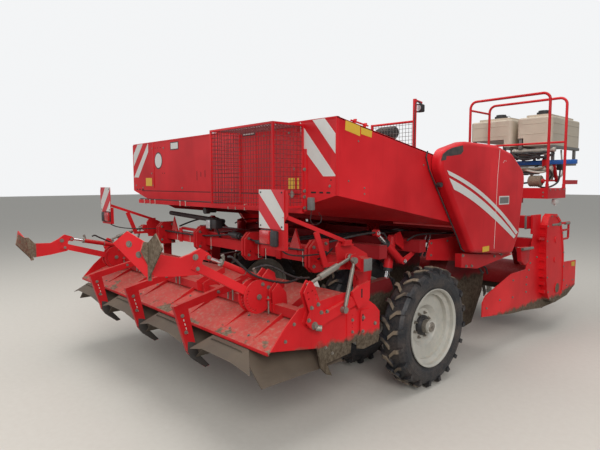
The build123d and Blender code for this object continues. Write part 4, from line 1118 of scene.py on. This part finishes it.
def buildPaddleBolts(side):
    def build(shape):
        y, z = paddleLook["corner"]
        out = paddleLook["out"]
        back = paddleLook["back"]
        spots = []
        for reach, up in ((0.068, 0.042), (0.136, 0.108)):
            spots.append((1.353 - out * reach, y - back * reach, z + up))
        face = Vector((back, -out, 0))
        placed = dropped(spots, side)
        turned = dropped([spot + face for spot in map(Vector, spots)], side)
        for spot, ahead in zip(placed, turned):
            addBolts(shape, [spot + (ahead - spot) * 0.0005], ahead - spot, 0.020, 0.008)
        pivotY, pivotZ = paddleLook["pivot"]
        for sign in (1, -1):
            edge = paddleLook["x"] + sign * 0.050
            addBolts(shape, [(edge, pivotY, pivotZ)], (sign, 0, 0), 0.020, 0.012)
            face = paddleLook["x"] + sign * 0.0125
            spots = dropped(atX(face, paddleLook["armBolts"]), side)
            addBolts(shape, spots, (sign, 0, 0), 0.020, 0.012)
    return build


def ramLine(side):
    base = Vector((paddleLook["x"], *paddleLook["base"]))
    return base, dropped([(paddleLook["x"], *paddleLook["tip"])], side)[0]


def buildRamRod(side):
    def build(shape):
        base, tip = ramLine(side)
        addRod(shape, base.lerp(tip, 0.745), base.lerp(tip, 0.955), 0.0135, 18)
    return build


def buildRamBands(side):
    def build(shape):
        base, tip = ramLine(side)
        addRod(shape, base.lerp(tip, 0.735), base.lerp(tip, 0.765), 0.0265, 20)
        addRod(shape, base.lerp(tip, 0.30), base.lerp(tip, 0.315), 0.0245, 18)
        for share in (0.08, 0.70):
            spot = base.lerp(tip, share)
            nut = spot + Vector((0.010, -0.008, 0.050))
            addRod(shape, spot, spot + Vector((0.010, -0.008, 0.052)), 0.011, 12)
            addRod(shape, nut, nut + Vector((0, -0.010, 0.016)), 0.014, 6)
    return build


def buildIndexBolts(shape):
    x = paddleLook["x"]
    tube = hoodLook["tubeZ"]
    for sign in (1, -1):
        edge = x + sign * 0.042
        spots = [(-1.655, tube + 0.20), (-1.585, tube + 0.12), (-1.71, 1.165)]
        addBolts(shape, atX(edge, spots), (sign, 0, 0), 0.014, 0.011)
    for off in (-0.055, 0.055):
        addRod(shape, (x + off, -1.664, tube), (x + off, -1.664, tube + 0.13), 0.007, 10)
        addBolts(shape, [(x + off, -1.664, tube + 0.118)], (0, 0, 1), 0.013, 0.012)


def buildIndexLugs(shape):
    x = paddleLook["x"]
    tube = hoodLook["tubeZ"]
    addBox(shape, x - 0.072, x + 0.072, -1.682, -1.648, tube + 0.104, tube + 0.118, 0.002)
    outline = [(-1.66, 0.02), (-1.67, 0.18), (-1.61, 0.235), (-1.53, 0.15), (-1.52, 0.02)]
    for lugX in (x + 0.060, x + 0.100):
        addPlate(shape, atX(lugX, [(y, tube + z) for y, z in outline]), (0.008, 0, 0))


for side, name in ((1, "Right"), (-1, "Left")):
    body = "dyker_" + name.lower()
    piece("paddleBolts" + name, buildPaddleBolts(side), "zinc", body, mirrored=side < 0)
    piece("ramRod" + name, buildRamRod(side), "chrome", body, mirrored=side < 0)
    piece("ramFittings" + name, buildRamBands(side), "zinc", body, mirrored=side < 0)
pair("indexBolts", buildIndexBolts, "zinc", "ridging_hood")
pair("indexLugs", buildIndexLugs, "redTool", "ridging_hood")

# each ram's hoses run over the hood and on to the ports of the ram
paddleHoses = [
    # name, radius, body behind the hinge, hood's last point, arm's first point, points
    ("ramHoseRightA", 0.0085, "dyker_right", (1.40, -1.70, 1.20), (1.39, -1.98, 1.38), [
        (1.376, -2.010, 1.400), (1.388, -1.990, 1.408), (1.394, -1.950, 1.372), (1.400, -1.870, 1.296),
        (1.400, -1.790, 1.240), (1.400, -1.665, 1.190), (1.402, -1.507, 1.145), (1.402, -1.400, 1.150),
        (1.402, -1.320, 1.170),
    ]),
    ("ramHoseRightB", 0.0075, "dyker_right", (1.50, -1.64, 1.25), (1.40, -1.78, 1.29), [
        (1.380, -1.770, 1.290), (1.430, -1.745, 1.318), (1.470, -1.700, 1.318), (1.498, -1.616, 1.270),
        (1.510, -1.518, 1.215), (1.515, -1.425, 1.188), (1.500, -1.330, 1.180),
    ]),
    ("ramHoseLeftA", 0.0085, "dyker_left", (-1.35, -1.68, 1.24), (-1.35, -1.90, 1.29), [
        (-1.376, -1.985, 1.330), (-1.400, -1.960, 1.345), (-1.425, -1.900, 1.310),
        (-1.440, -1.800, 1.262), (-1.450, -1.665, 1.190), (-1.450, -1.507, 1.145),
        (-1.450, -1.400, 1.150), (-1.450, -1.320, 1.170),
    ]),
]
for name, radius, arm, start, end, points in paddleHoses:
    hose(name, points, radius, "hose", "ridging_hood", (arm, start, end))
print("paddles")

# tipping and height cylinders and the frame springs: chrome rods, glands, pins and hoses
liftLook = {
    # start, end, radius, sides
    "rods": [
        ((1.400, -0.246, 1.355), (1.400, -0.345, 1.432), 0.0215, 20),
        ((1.290, -0.0755, 0.985), (1.290, -0.0595, 1.062), 0.0235, 20),
        ((1.430, 0.40, 1.385), (1.430, 0.335, 1.262), 0.008, 10),
        ((1.462, 0.425, 1.385), (1.462, 0.360, 1.262), 0.008, 10),
    ],
    "glands": [
        ((1.400, -0.226, 1.339), (1.400, -0.252, 1.3595), 0.0425, 22),
        ((1.290, -0.062, 1.050), (1.290, -0.0555, 1.083), 0.0505, 22),
        ((1.430, 0.335, 1.262), (1.430, 0.290, 1.178), 0.012, 12),
        ((1.462, 0.360, 1.262), (1.462, 0.315, 1.178), 0.012, 12),
    ],
    "liftHose": [
        (1.405, -0.235, 1.405), (1.415, -0.265, 1.440), (1.420, -0.330, 1.462), (1.410, -0.45, 1.470),
        (1.36, -0.66, 1.450), (1.30, -0.85, 1.415), (1.25, -0.96, 1.392),
    ],
    "frameHose": [
        (1.46, 0.02, 1.36), (1.47, 0.10, 1.40), (1.46, 0.28, 1.41), (1.47, 0.55, 1.395), (1.47, 0.85, 1.38),
    ],
}

pair("liftRods", forms(
    (addRods, liftLook["rods"]),
    (addBolts, [(1.426, -0.382, 1.461)], (1, 0, 0), 0.018, 0.012),
    (addBolts, [(1.452, 0.005, 1.160)], (1, 0, 0), 0.018, 0.010),
), "chrome", "frame")
pair("liftGlands", forms((addRods, liftLook["glands"])), "black", "frame")
for sign, side in ((1, "Right"), (-1, "Left")):
    for name, radius in (("liftHose", 0.010), ("frameHose", 0.009)):
        hose(name + side, [(sign * x, y, z) for x, y, z in liftLook[name]], radius, "hose", "frame")
print("cylinders")

# tanks: screw lids, moulded marks, and below them the wound hose, slim frame and plumbing
tankLook = {
    "lids": [(0.720, 3.450), (1.3475, 3.450)], "lidZ": 2.871, "ribs": 20, "front": 3.120, "back": 4.220,
    "widths": [(0.400, 1.040), (1.110, 1.585)],
    # seams: low, high, bevel
    "seams": [(2.742, 2.750, 0.0015), (2.600, 2.606, 0.0012)],
}


def buildLids(shape):
    for x, y in tankLook["lids"]:
        z = tankLook["lidZ"]
        addRod(shape, (x, y, z), (x, y, z + 0.056), 0.0895, 40)
        addRod(shape, (x, y, z + 0.056), (x, y, z + 0.080), 0.0715, 36)
        for index in range(tankLook["ribs"]):
            turn = math.tau * index / tankLook["ribs"]
            spot = Vector((x + 0.089 * math.cos(turn), y + 0.089 * math.sin(turn), z + 0.002))
            addRod(shape, spot, spot + Vector((0, 0, 0.052)), 0.0042, 6)


# moulded level scale and seams of each tank
def buildTankMarks(shape):
    front = tankLook["front"]
    for x0, x1 in tankLook["widths"]:
        for low, high, bevel in tankLook["seams"]:
            addBox(shape, x0 + 0.055, x1 - 0.055, front - 0.0035, front, low, high, bevel)
        for step in range(6):
            z = 2.575 + step * 0.036
            addBox(shape, x1 - 0.115, x1 - 0.080, front - 0.003, front, z, z + 0.003)
    for low, high, bevel in tankLook["seams"]:
        addBox(shape, 1.585, 1.5885, front + 0.07, tankLook["back"] - 0.07, low, high, bevel)


coilLook = {
    "x": 1.320, "wide": 0.165, "y": 3.12, "z": 1.945, "hole": 0.030, "radius": 0.070, "turns": 6,
    "steps": 42, "swell": 0.010,
}


# flat hose wound on its peg, below the outer tank
def buildCoil(shape):
    look = coilLook
    steps = look["steps"]
    profile = [(-0.002, look["hole"])]
    for step in range(steps + 1):
        swell = look["swell"] * math.sin(math.pi * look["turns"] * step / steps) ** 2
        profile.append((look["wide"] * step / steps, look["radius"] + swell))
    profile.append((look["wide"] + 0.002, look["hole"]))
    rings = [shape.verts.new((look["x"] + x, look["y"], look["z"] + z)) for x, z in profile]
    lines = [shape.edges.new(ends) for ends in zip(rings, rings[1:])]
    bmesh.ops.spin(
        shape, geom=rings + lines, cent=(1.4, look["y"], look["z"]), axis=(1, 0, 0), angle=math.tau,
        steps=36, use_merge=True,
    )
    bmesh.ops.recalc_face_normals(shape, faces=shape.faces)


# slim frame below the tanks: a blue cross tube in front of the plumbing, dark rails on top
cradleLook = {
    "tube": 0.030,
    "tubeY": 3.270,
    "tubeZ": 2.205,
    "railX": (0.450, 0.985, 1.160, 1.560),
    "railZ": (2.398, 2.4395),
    "shelfX": (0.450, 1.160),
    "shelfTop": 2.549,
    "foot": 1.3603,
}


def buildCradle(shape):
    look = cradleLook
    tube, y, z, foot = look["tube"], look["tubeY"], look["tubeZ"], look["foot"]
    addBox(shape, 0.380, 1.872, y - tube, y + tube, z - tube, z + tube, 0.005)
    addBox(shape, 0.420, 0.500, 3.125, 3.200, foot, 2.400, 0.006)
    addBox(shape, 0.420, 0.600, 3.125, 3.200, foot, foot + 0.080, 0.006)
    addBar(shape, (0.460, 3.170, 1.500), (0.460, 4.060, 2.190), 0.056, 0.056, 0.005)
    addBox(shape, 0.432, 0.488, 3.180, y, z - tube + 0.002, z + tube - 0.002, 0.004)


def buildCradleRails(shape):
    tube, y, z = cradleLook["tube"], cradleLook["tubeY"], cradleLook["tubeZ"]
    addBox(shape, 0.380, 1.590, 4.040, 4.100, z - tube, z + tube, 0.005)
    for x in cradleLook["railX"]:
        addBox(shape, x - 0.024, x + 0.024, 3.125, 4.215, *cradleLook["railZ"], 0.004)
        for post in (y, 4.070):
            addBox(shape, x - 0.018, x + 0.018, post - 0.020, post + 0.020, z + tube, 2.400, 0.003)
    for x in cradleLook["shelfX"]:
        for end in (3.140, 4.140):
            addBox(shape, x - 0.020, x + 0.020, end, end + 0.060, 2.438, cradleLook["shelfTop"], 0.003)


# start, end, radius, sides
pipeRods = [
    ((1.04, 3.17, 2.372), (1.60, 3.17, 2.376), 0.024, 18),
    ((1.60, 3.17, 2.376), (1.63, 3.17, 2.376), 0.032, 18),
    ((1.10, 3.15, 2.315), (1.56, 3.15, 2.322), 0.016, 16),
    ((1.02, 3.22, 2.110), (1.56, 3.22, 2.115), 0.030, 18),
    ((1.56, 3.22, 2.115), (1.58, 3.22, 2.115), 0.040, 18),
    ((1.30, 3.22, 2.110), (1.30, 3.24, 2.03), 0.024, 16),
    ((1.52, 3.30, 2.16), (1.54, 3.40, 2.02), 0.026, 16),
    ((1.54, 3.40, 2.02), (1.54, 3.55, 1.99), 0.026, 16),
    ((1.46, 3.46, 2.10), (1.46, 3.46, 1.96), 0.045, 18),
]


def buildPipes(shape):
    addRods(shape, pipeRods)
    for x in (1.06, 1.20, 1.38, 1.50):
        addRod(shape, (x, 3.20, 2.41), (x, 3.20, 2.30), 0.026, 16)
        addRod(shape, (x, 3.20, 2.33), (x, 3.20, 2.31), 0.034, 16)


def buildValves(shape):
    for x in (1.10, 1.25, 1.40):
        addRod(shape, (x, 3.19, 2.245), (x, 3.19, 2.27), 0.020, 12)
        addBox(shape, x - 0.028, x + 0.028, 3.165, 3.215, 2.265, 2.30, 0.005)
    addBox(shape, 1.18, 1.34, 3.26, 3.42, 2.04, 2.14, 0.012)
    addRod(shape, (1.20, 3.34, 2.09), (1.06, 3.34, 2.09), 0.060, 22)
    addRod(shape, (1.06, 3.34, 2.09), (1.02, 3.34, 2.09), 0.030, 16)
    addBox(shape, 1.52, 1.60, 3.52, 3.60, 2.10, 2.22, 0.01)


piece("tankLids", buildLids, "black", "frame")
piece("tankMouldings", buildTankMarks, "tank", "frame")
piece("flatHoseRoll", buildCoil, "coil", "frame")
piece("tankPipes", buildPipes, "pipe", "frame")
piece("tankValves", buildValves, "black", "frame")
# struts and the coil's peg
piece("tankPosts", forms(
    (addBox, 1.448, 1.500, 3.228, 3.241, 2.080, 2.246, 0.003),
    (addBox, 1.448, 1.460, 3.200, 3.235, 2.080, 2.246, 0.002),
    (addBar, (1.575, 3.41, 1.935), (1.575, 3.29, 2.178), 0.036, 0.036, 0.003),
    (addBar, (1.560, 3.385, 1.950), (1.505, 3.12, 1.950), 0.024, 0.024, 0.003),
    (addRod, (1.515, 3.12, 1.945), (1.300, 3.12, 1.945), 0.031, 20),
), "redTool", "frame")
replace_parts(piece("cradleFrame", buildCradle, "blue", "frame"), "tank_cradle")
piece("cradleRails", buildCradleRails, "grey", "frame")
piece("deckBox", forms(
    (addBox, 1.765, 1.815, 2.745, 2.865, 1.646, 1.712, 0.008),
    (addRod, (1.79, 2.80, 1.646), (1.79, 2.80, 1.625), 0.016, 16),
), "white", "frame")
plumbing = [
    # name, radius, finish, points
    ("tankHoseA", 0.017, "hose", [
        (1.06, 3.17, 2.36), (1.06, 3.10, 2.34), (1.14, 3.08, 2.27), (1.30, 3.10, 2.24),
        (1.44, 3.10, 2.30), (1.50, 3.17, 2.36),
    ]),
    ("tankHoseB", 0.015, "hose", [
        (1.10, 3.18, 2.28), (1.12, 3.10, 2.30), (1.22, 3.07, 2.34), (1.34, 3.08, 2.31),
        (1.40, 3.16, 2.29),
    ]),
    ("tankHoseC", 0.016, "pipe", [
        (1.08, 3.21, 2.12), (1.18, 3.13, 2.13), (1.32, 3.09, 2.085), (1.44, 3.12, 2.06),
        (1.50, 3.22, 2.08), (1.46, 3.46, 2.12),
    ]),
    ("tankHoseD", 0.014, "hose", [
        (1.42, 3.36, 2.16), (1.50, 3.20, 2.15), (1.56, 3.15, 2.10), (1.58, 3.24, 2.04),
        (1.50, 3.36, 1.99), (1.44, 3.40, 1.90),
    ]),
    ("tankHoseE", 0.013, "hose", [
        (1.02, 3.34, 2.09), (0.95, 3.30, 2.06), (0.92, 3.20, 1.98), (1.00, 3.12, 1.92),
        (1.16, 3.10, 1.90), (1.36, 3.12, 1.93),
    ]),
    ("tankHoseF", 0.012, "pipe", [
        (1.54, 3.55, 1.99), (1.55, 3.66, 2.01), (1.53, 3.75, 2.09), (1.50, 3.78, 2.22),
        (1.49, 3.76, 2.40),
    ]),
    ("tankHoseG", 0.012, "hose", [
        (1.30, 3.24, 2.05), (1.30, 3.25, 1.95), (1.40, 3.23, 1.86), (1.54, 3.20, 1.85),
        (1.62, 3.26, 1.90), (1.60, 3.44, 1.96), (1.56, 3.56, 2.10),
    ]),
    ("tankHoseI", 0.018, "hose", [
        (1.02, 3.15, 2.28), (1.14, 3.11, 2.275), (1.28, 3.10, 2.29), (1.42, 3.11, 2.27),
        (1.56, 3.14, 2.28), (1.60, 3.20, 2.33),
    ]),
    ("tankHoseJ", 0.016, "hose", [
        (1.04, 3.14, 2.345), (1.16, 3.10, 2.33), (1.30, 3.09, 2.345), (1.44, 3.10, 2.325),
        (1.56, 3.13, 2.345),
    ]),
    ("tankHoseK", 0.014, "coil", [
        (1.00, 3.16, 2.13), (1.12, 3.11, 2.10), (1.26, 3.09, 2.12), (1.38, 3.12, 2.10),
        (1.48, 3.18, 2.13), (1.50, 3.30, 2.17),
    ]),
    ("tankHoseL", 0.016, "hose", [
        (1.04, 3.20, 2.06), (1.14, 3.12, 2.055), (1.26, 3.09, 2.045), (1.38, 3.12, 2.05),
        (1.50, 3.22, 2.09), (1.54, 3.34, 2.14),
    ]),
    ("tankHoseH", 0.014, "hose", [
        (1.16, 3.42, 2.09), (1.18, 3.55, 2.12), (1.22, 3.72, 2.20), (1.24, 3.86, 2.34),
        (1.24, 3.90, 2.50),
    ]),
    ("lidLoop", 0.003, "hose", [
        (0.80, 3.44, 2.905), (0.83, 3.44, 2.925), (0.86, 3.44, 2.920), (0.865, 3.44, 2.895),
        (0.84, 3.44, 2.885),
    ]),
]
for name, radius, finish, points in plumbing:
    hose(name, points, radius, finish, "frame")
print("tanks")

# front guard and lamp mast: wire mesh, head lamp, rolled sheet and cable
mastLook = {"y": 1.700, "low": 2.350, "high": 2.735, "left": -0.355, "right": 0.340, "pitch": 0.052}


def buildMastMesh(shape):
    y, low, high, left, right, pitch = mastLook.values()
    for index in range(1, int((right - left) / pitch) + 1):
        x = left + index * pitch
        addRod(shape, (x, y, low), (x, y, high), 0.003, 5)
    for index in range(1, int((high - low) / pitch) + 1):
        z = low + index * pitch
        addRod(shape, (left, y - 0.004, z), (right, y - 0.004, z), 0.003, 5)


# tied roll of dark sheet behind the guard: x and radius
def buildGuardRoll(shape):
    turns = [(-0.36, 0.070), (-0.30, 0.088), (-0.20, 0.092), (-0.12, 0.096), (-0.06, 0.092), (-0.03, 0.072)]
    for (x0, r0), (x1, r1) in zip(turns, turns[1:]):
        addRod(shape, (x0, 1.815, 2.640), (x1, 1.815, 2.638), r0, 20, r1)


piece("guardMesh", buildMastMesh, "wireGrey", "frame", smooth=False)
piece("mastLamp", forms(
    (addBox, 0.325, 0.420, 1.775, 1.855, 2.880, 2.985, 0.016),
    (addRod, (0.372, 1.810, 2.985), (0.372, 1.810, 3.012), 0.012, 12),
    (addBox, 0.315, 0.430, 1.764, 1.776, 2.874, 2.990, 0.008),
), "black", "frame")
piece("mastLampGlass", forms(
    (addRod, (0.372, 1.766, 2.932), (0.372, 1.760, 2.932), 0.042, 24),
), "lampGlass", "frame")
piece("guardRoll", buildGuardRoll, "scuff", "frame")
hose("mastCable", [
    (0.380, 1.665, 1.55), (0.384, 1.668, 2.1), (0.382, 1.668, 2.7), (0.384, 1.672, 2.98),
    (0.375, 1.76, 3.03), (0.372, 1.80, 3.0),
], 0.006, "hose", "frame")
print("mast")

# service platform: tread plate with ribs, bolts and the feet of its rails
platformLook = {
    "x0": 0.748, "x1": 1.827, "y0": 2.438, "y1": 3.012, "top": 1.8165, "edge": 0.004, "pitch": 0.055,
    "rib": 0.010, "margin": 0.03,
}


def buildTread(shape):
    look = platformLook
    x0, x1, y0, y1, top, edge = [look[key] for key in ("x0", "x1", "y0", "y1", "top", "edge")]
    pitch, rib, margin = look["pitch"], look["rib"], look["margin"]
    addBox(shape, x0 + edge, x1 - edge, y0 + edge, y1 - edge, top, top + 0.003)
    z = top + 0.0035
    for column in range(int((x1 - x0) / pitch)):
        for row in range(int((y1 - y0) / pitch)):
            x = x0 + margin + column * pitch
            y = y0 + margin + row * pitch
            # neighbouring ribs lean opposite ways
            lean = -rib if (column + row) % 2 else rib
            addBar(shape, (x - rib, y + lean, z), (x + rib, y - lean, z), 0.004, 0.0025)


def buildDeckBolts(shape):
    for y in (2.50, 2.66, 2.80, 2.95):
        addBolts(shape, [(1.835, y, 1.832)], (1, 0, 0), 0.010, 0.007)
    for x in (0.80, 1.30, 1.78):
        addBolts(shape, atY(2.430, [(x, 1.80), (x, 1.75)]), (0, -1, 0), 0.010, 0.007)


def buildRailFeet(shape):
    for y in (2.450, 3.000):
        for x in (0.760, 1.815):
            left, right = max(0.741, x - 0.024), min(1.8345, x + 0.024)
            addBox(shape, left, right, y - 0.019, y + 0.019, 1.8502, 1.858, 0.002)
            addRod(shape, (x, y, 1.855), (x, y, 1.905), 0.0205, 20)


piece("deckTread", buildTread, "redTool", "frame", smooth=False)
piece("deckBolts", buildDeckBolts, "zinc", "frame")
piece("railFeet", buildRailFeet, "redTool", "frame")
print("platform")

# front power tiller: bolts and pipes of its case and side plates, handle, band and grease
tillerLook = {
    "caseX": 1.8795, "plateX": 1.800,
    "caseBolts": [
        (2.36, 1.385), (2.47, 1.505), (2.64, 1.497), (2.762, 1.418), (2.842, 1.268), (2.905, 1.010),
        (2.925, 0.820), (2.940, 0.635), (2.918, 0.492), (2.640, 0.412), (2.515, 0.455), (2.442, 0.548),
        (2.402, 0.740), (2.370, 1.000), (2.358, 1.200),
    ],
    "plateBolts": [
        (2.258, 1.005), (2.070, 0.951), (2.038, 0.869), (1.98, 0.79), (1.98, 0.70), (1.98, 0.61),
        (3.12, 0.72), (3.30, 0.50), (3.52, 0.55), (1.62, 0.80), (1.62, 0.60), (1.30, 0.62), (1.00, 0.58),
    ],
    # outlines of the case's plate, the long strip and the bracket: x, thickness, bevel, points
    "plates": [
        (1.858, 0.010, 0.002, [(2.40, 1.42), (2.52, 1.47), (2.56, 1.36), (2.42, 1.34)]),
        (1.852, 0.014, 0.003, [
            (2.180, 1.262), (2.30, 1.246), (2.50, 1.236), (2.50, 1.212), (2.28, 1.214), (2.170, 1.232),
        ]),
        (1.790, 0.050, 0.004, [
            (1.700, 1.172), (1.970, 1.160), (1.950, 1.000), (1.845, 0.950), (1.740, 1.010),
        ]),
    ],
}


def buildCaseBolts(shape):
    addBolts(shape, atX(tillerLook["caseX"], tillerLook["caseBolts"]), (1, 0, 0), 0.011, 0.008)
    for side in (1, -1):
        places = atX(side * tillerLook["plateX"], tillerLook["plateBolts"])
        addBolts(shape, places, (side, 0, 0), 0.012, 0.008)
    x = 1.868
    addRod(shape, (x, 2.508, 1.392), (x, 2.720, 1.388), 0.016, 16)
    addRod(shape, (x, 2.720, 1.388), (x, 2.770, 1.387), 0.024, 16)
    addRod(shape, (x, 2.960, 1.386), (x, 3.100, 1.384), 0.018, 16)
    addRod(shape, (1.862, 1.700, 1.160), (1.862, 1.975, 1.150), 0.017, 16)


def buildCaseHandle(shape):
    x = 1.864
    addBar(shape, (x, 2.860, 1.395), (x, 3.118, 1.392), 0.022, 0.026, 0.003)
    for side, thick, bevel, outline in tillerLook["plates"]:
        addPlate(shape, atX(side, outline), (thick, 0, 0), bevel)
    for z in (1.182, 1.300):
        addRod(shape, (x, 2.905, z), (x, 3.070, z), 0.014, 14)
    addRod(shape, (x, 3.070, 1.182), (x, 3.092, 1.196), 0.014, 14)
    addRod(shape, (x, 3.092, 1.196), (x, 3.092, 1.372), 0.014, 14)


piece("caseBolts", buildCaseBolts, "zinc", "frame")
piece("caseHandle", buildCaseHandle, "red", "frame")
piece("beamBand", forms((addBox, 1.690, 1.716, 2.130, 2.300, 1.352, 1.518, 0.004)), "grey", "frame")
piece("caseGrease", forms(
    (addRod, (1.8795, 2.740, 0.560), (1.8815, 2.740, 0.560), 0.062, 28),
), "soil", "frame")
print("tiller")

# below the hopper: bolts of the frame, stiffeners, side box, plug, wire and hoses
frameLook = {
    "bolts": [(0.53, 1.195), (0.60, 1.080), (0.71, 1.070), (1.20, 1.120), (1.36, 1.125)],
    "stiffener": [(-1.25, 1.677), (0.40, 1.504), (0.40, 1.470), (-1.15, 1.630)],
    "railBolts": [(0.30, 1.32), (0.60, 1.32), (0.82, 1.32), (0.30, 1.20)],
}


def buildFrameBolts(shape):
    for side in (1, -1):
        addBolts(shape, atX(side * 1.770, frameLook["bolts"]), (side, 0, 0), 0.015, 0.010)
        addBolts(shape, atX(side * 1.552, frameLook["railBolts"]), (side, 0, 0), 0.012, 0.008)


# stiffeners below the hopper floor
def buildUnderPlates(shape):
    for x in (-1.0, -0.5, 0.5, 1.0):
        addPlate(shape, atX(x, frameLook["stiffener"]), (0.006, 0, 0))


piece("frameBolts", buildFrameBolts, "zinc", "frame")
# painted shade: the stiffeners take the dark copy of the red
piece("hopperStiffeners", buildUnderPlates, "redDark", "hopper", smooth=False)
piece("hopperSideBox", forms((addBox, 1.489, 1.537, -1.342, -1.300, 1.712, 1.812, 0.006)), "grey", "hopper")
piece("hopperPlug", forms(
    (addRod, (-0.186, -1.245, 1.638), (-0.186, -1.190, 1.638), 0.034, 18),
    (addRod, (-0.186, -1.190, 1.638), (-0.186, -1.110, 1.634), 0.022, 18),
    (addBox, -0.204, -0.168, -1.222, -1.198, 1.640, 1.675, 0.003),
), "black", "hopper")
hose("hopperWire", [
    (1.514, -1.320, 1.714), (1.510, -1.316, 1.680), (1.500, -1.320, 1.640), (1.500, -1.300, 1.605),
    (1.500, -1.240, 1.592), (1.500, -1.192, 1.620), (1.500, -1.195, 1.665), (1.500, -1.230, 1.690),
], 0.0026, "hose", "hopper")
frameHoses = [
    # name, radius, points
    ("driveShaft", 0.026, [(-1.30, -1.05, 1.560), (-0.70, -1.04, 1.535), (-0.16, -1.03, 1.515)]),
    ("floorHoseA", 0.011, [
        (0.70, -0.90, 1.375), (0.72, -0.60, 1.40), (0.76, -0.30, 1.385), (0.80, 0.10, 1.395),
        (0.85, 0.80, 1.38),
    ]),
    ("floorHoseB", 0.010, [
        (0.78, -0.92, 1.372), (0.80, -0.62, 1.39), (0.84, -0.32, 1.375), (0.86, 0.08, 1.385),
        (0.92, 0.80, 1.375),
    ]),
    ("floorHoseC", 0.011, [
        (1.50, 1.02, 1.10), (1.52, 1.20, 1.04), (1.54, 1.36, 0.98), (1.53, 1.52, 0.92),
        (1.50, 1.60, 0.84),
    ]),
    ("floorHoseD", 0.010, [
        (1.56, 1.00, 1.12), (1.60, 1.10, 1.05), (1.62, 1.18, 0.96), (1.60, 1.28, 0.90),
        (1.54, 1.42, 0.88),
    ]),
]
for name, radius, points in frameHoses:
    hose(name, points, radius, "hose", "frame")
print("frame")


# studio: floor, lights and camera
def buildStudio():
    floorPaint = Paint("floorPaint", {"Roughness": 0.9, "Specular IOR Level": 0.2})
    path = floorPaint.tree.nodes.new("ShaderNodeLightPath")
    seen = Wire(floorPaint, path.outputs["Is Camera Ray"]) + Wire(floorPaint, path.outputs["Is Glossy Ray"])
    grain = floorPaint.noise(18.0, 5.0)
    pale = floorPaint.mix(grain, (0.60, 0.555, 0.49), (0.66, 0.62, 0.555))
    floorPaint.colour(floorPaint.mix(floorPaint.ramp(seen, 0.0, 1.0), (0.20, 0.185, 0.165), pale))
    bpy.ops.mesh.primitive_plane_add(size=160.0, location=(0, 0, 0))
    floor = bpy.context.object
    floor.name = "studioFloor"
    floor.data.materials.append(floorPaint.material)
    world = bpy.data.worlds.new("studioWorld")
    bpy.context.scene.world = world
    world.use_nodes = True
    tree = world.node_tree
    background = tree.nodes["Background"]
    path = tree.nodes.new("ShaderNodeLightPath")
    seen = tree.nodes.new("ShaderNodeBackground")
    seen.inputs["Color"].default_value = (0.90, 0.91, 0.92, 1.0)
    seen.inputs["Strength"].default_value = 1.0
    background.inputs["Color"].default_value = (0.90, 0.95, 1.0, 1.0)
    background.inputs["Strength"].default_value = 0.48
    blend = tree.nodes.new("ShaderNodeMixShader")
    tree.links.new(path.outputs["Is Camera Ray"], blend.inputs[0])
    tree.links.new(background.outputs[0], blend.inputs[1])
    tree.links.new(seen.outputs[0], blend.inputs[2])
    tree.links.new(blend.outputs[0], tree.nodes["World Output"].inputs[0])
    lamps = [
        # name, place, aim, size, power
        ("overhead", (0.0, -0.5, 9.0), (0.0, 0.0, 0.0), 9.0, 520.0),
        ("keySide", (9.0, -7.5, 6.0), (0.3, -0.3, 1.2), 5.0, 620.0),
        ("fillRear", (-5.5, -9.0, 4.5), (0.0, -1.5, 1.0), 5.0, 160.0),
    ]
    for name, place, target, size, power in lamps:
        lamp = bpy.data.lights.new(name, "AREA")
        lamp.size = size
        lamp.energy = power
        holder = bpy.data.objects.new(name, lamp)
        holder.location = place
        holder.rotation_euler = (Vector(target) - Vector(place)).to_track_quat("-Z", "Y").to_euler()
        bpy.context.scene.collection.objects.link(holder)


cameraLook = {"place": (4.267, -5.033, 1.923), "azimuth": 47.765, "down": 4.9, "roll": -0.134, "lens": 29.303}


def buildCamera():
    lens = bpy.data.cameras.new("photoView")
    lens.lens = cameraLook["lens"]
    lens.sensor_width = 36.0
    holder = bpy.data.objects.new("photoView", lens)
    turn = Matrix.Rotation(math.radians(cameraLook["azimuth"]), 3, "Z")
    tilt = Matrix.Rotation(math.radians(90 - cameraLook["down"]), 3, "X")
    roll = Matrix.Rotation(math.radians(cameraLook["roll"]), 3, "Z")
    holder.location = cameraLook["place"]
    holder.rotation_euler = (turn @ tilt @ roll).to_euler()
    bpy.context.scene.collection.objects.link(holder)
    bpy.context.scene.camera = holder


buildStudio()
buildCamera()
bpy.context.scene.view_settings.view_transform = "Standard"
print("studio")
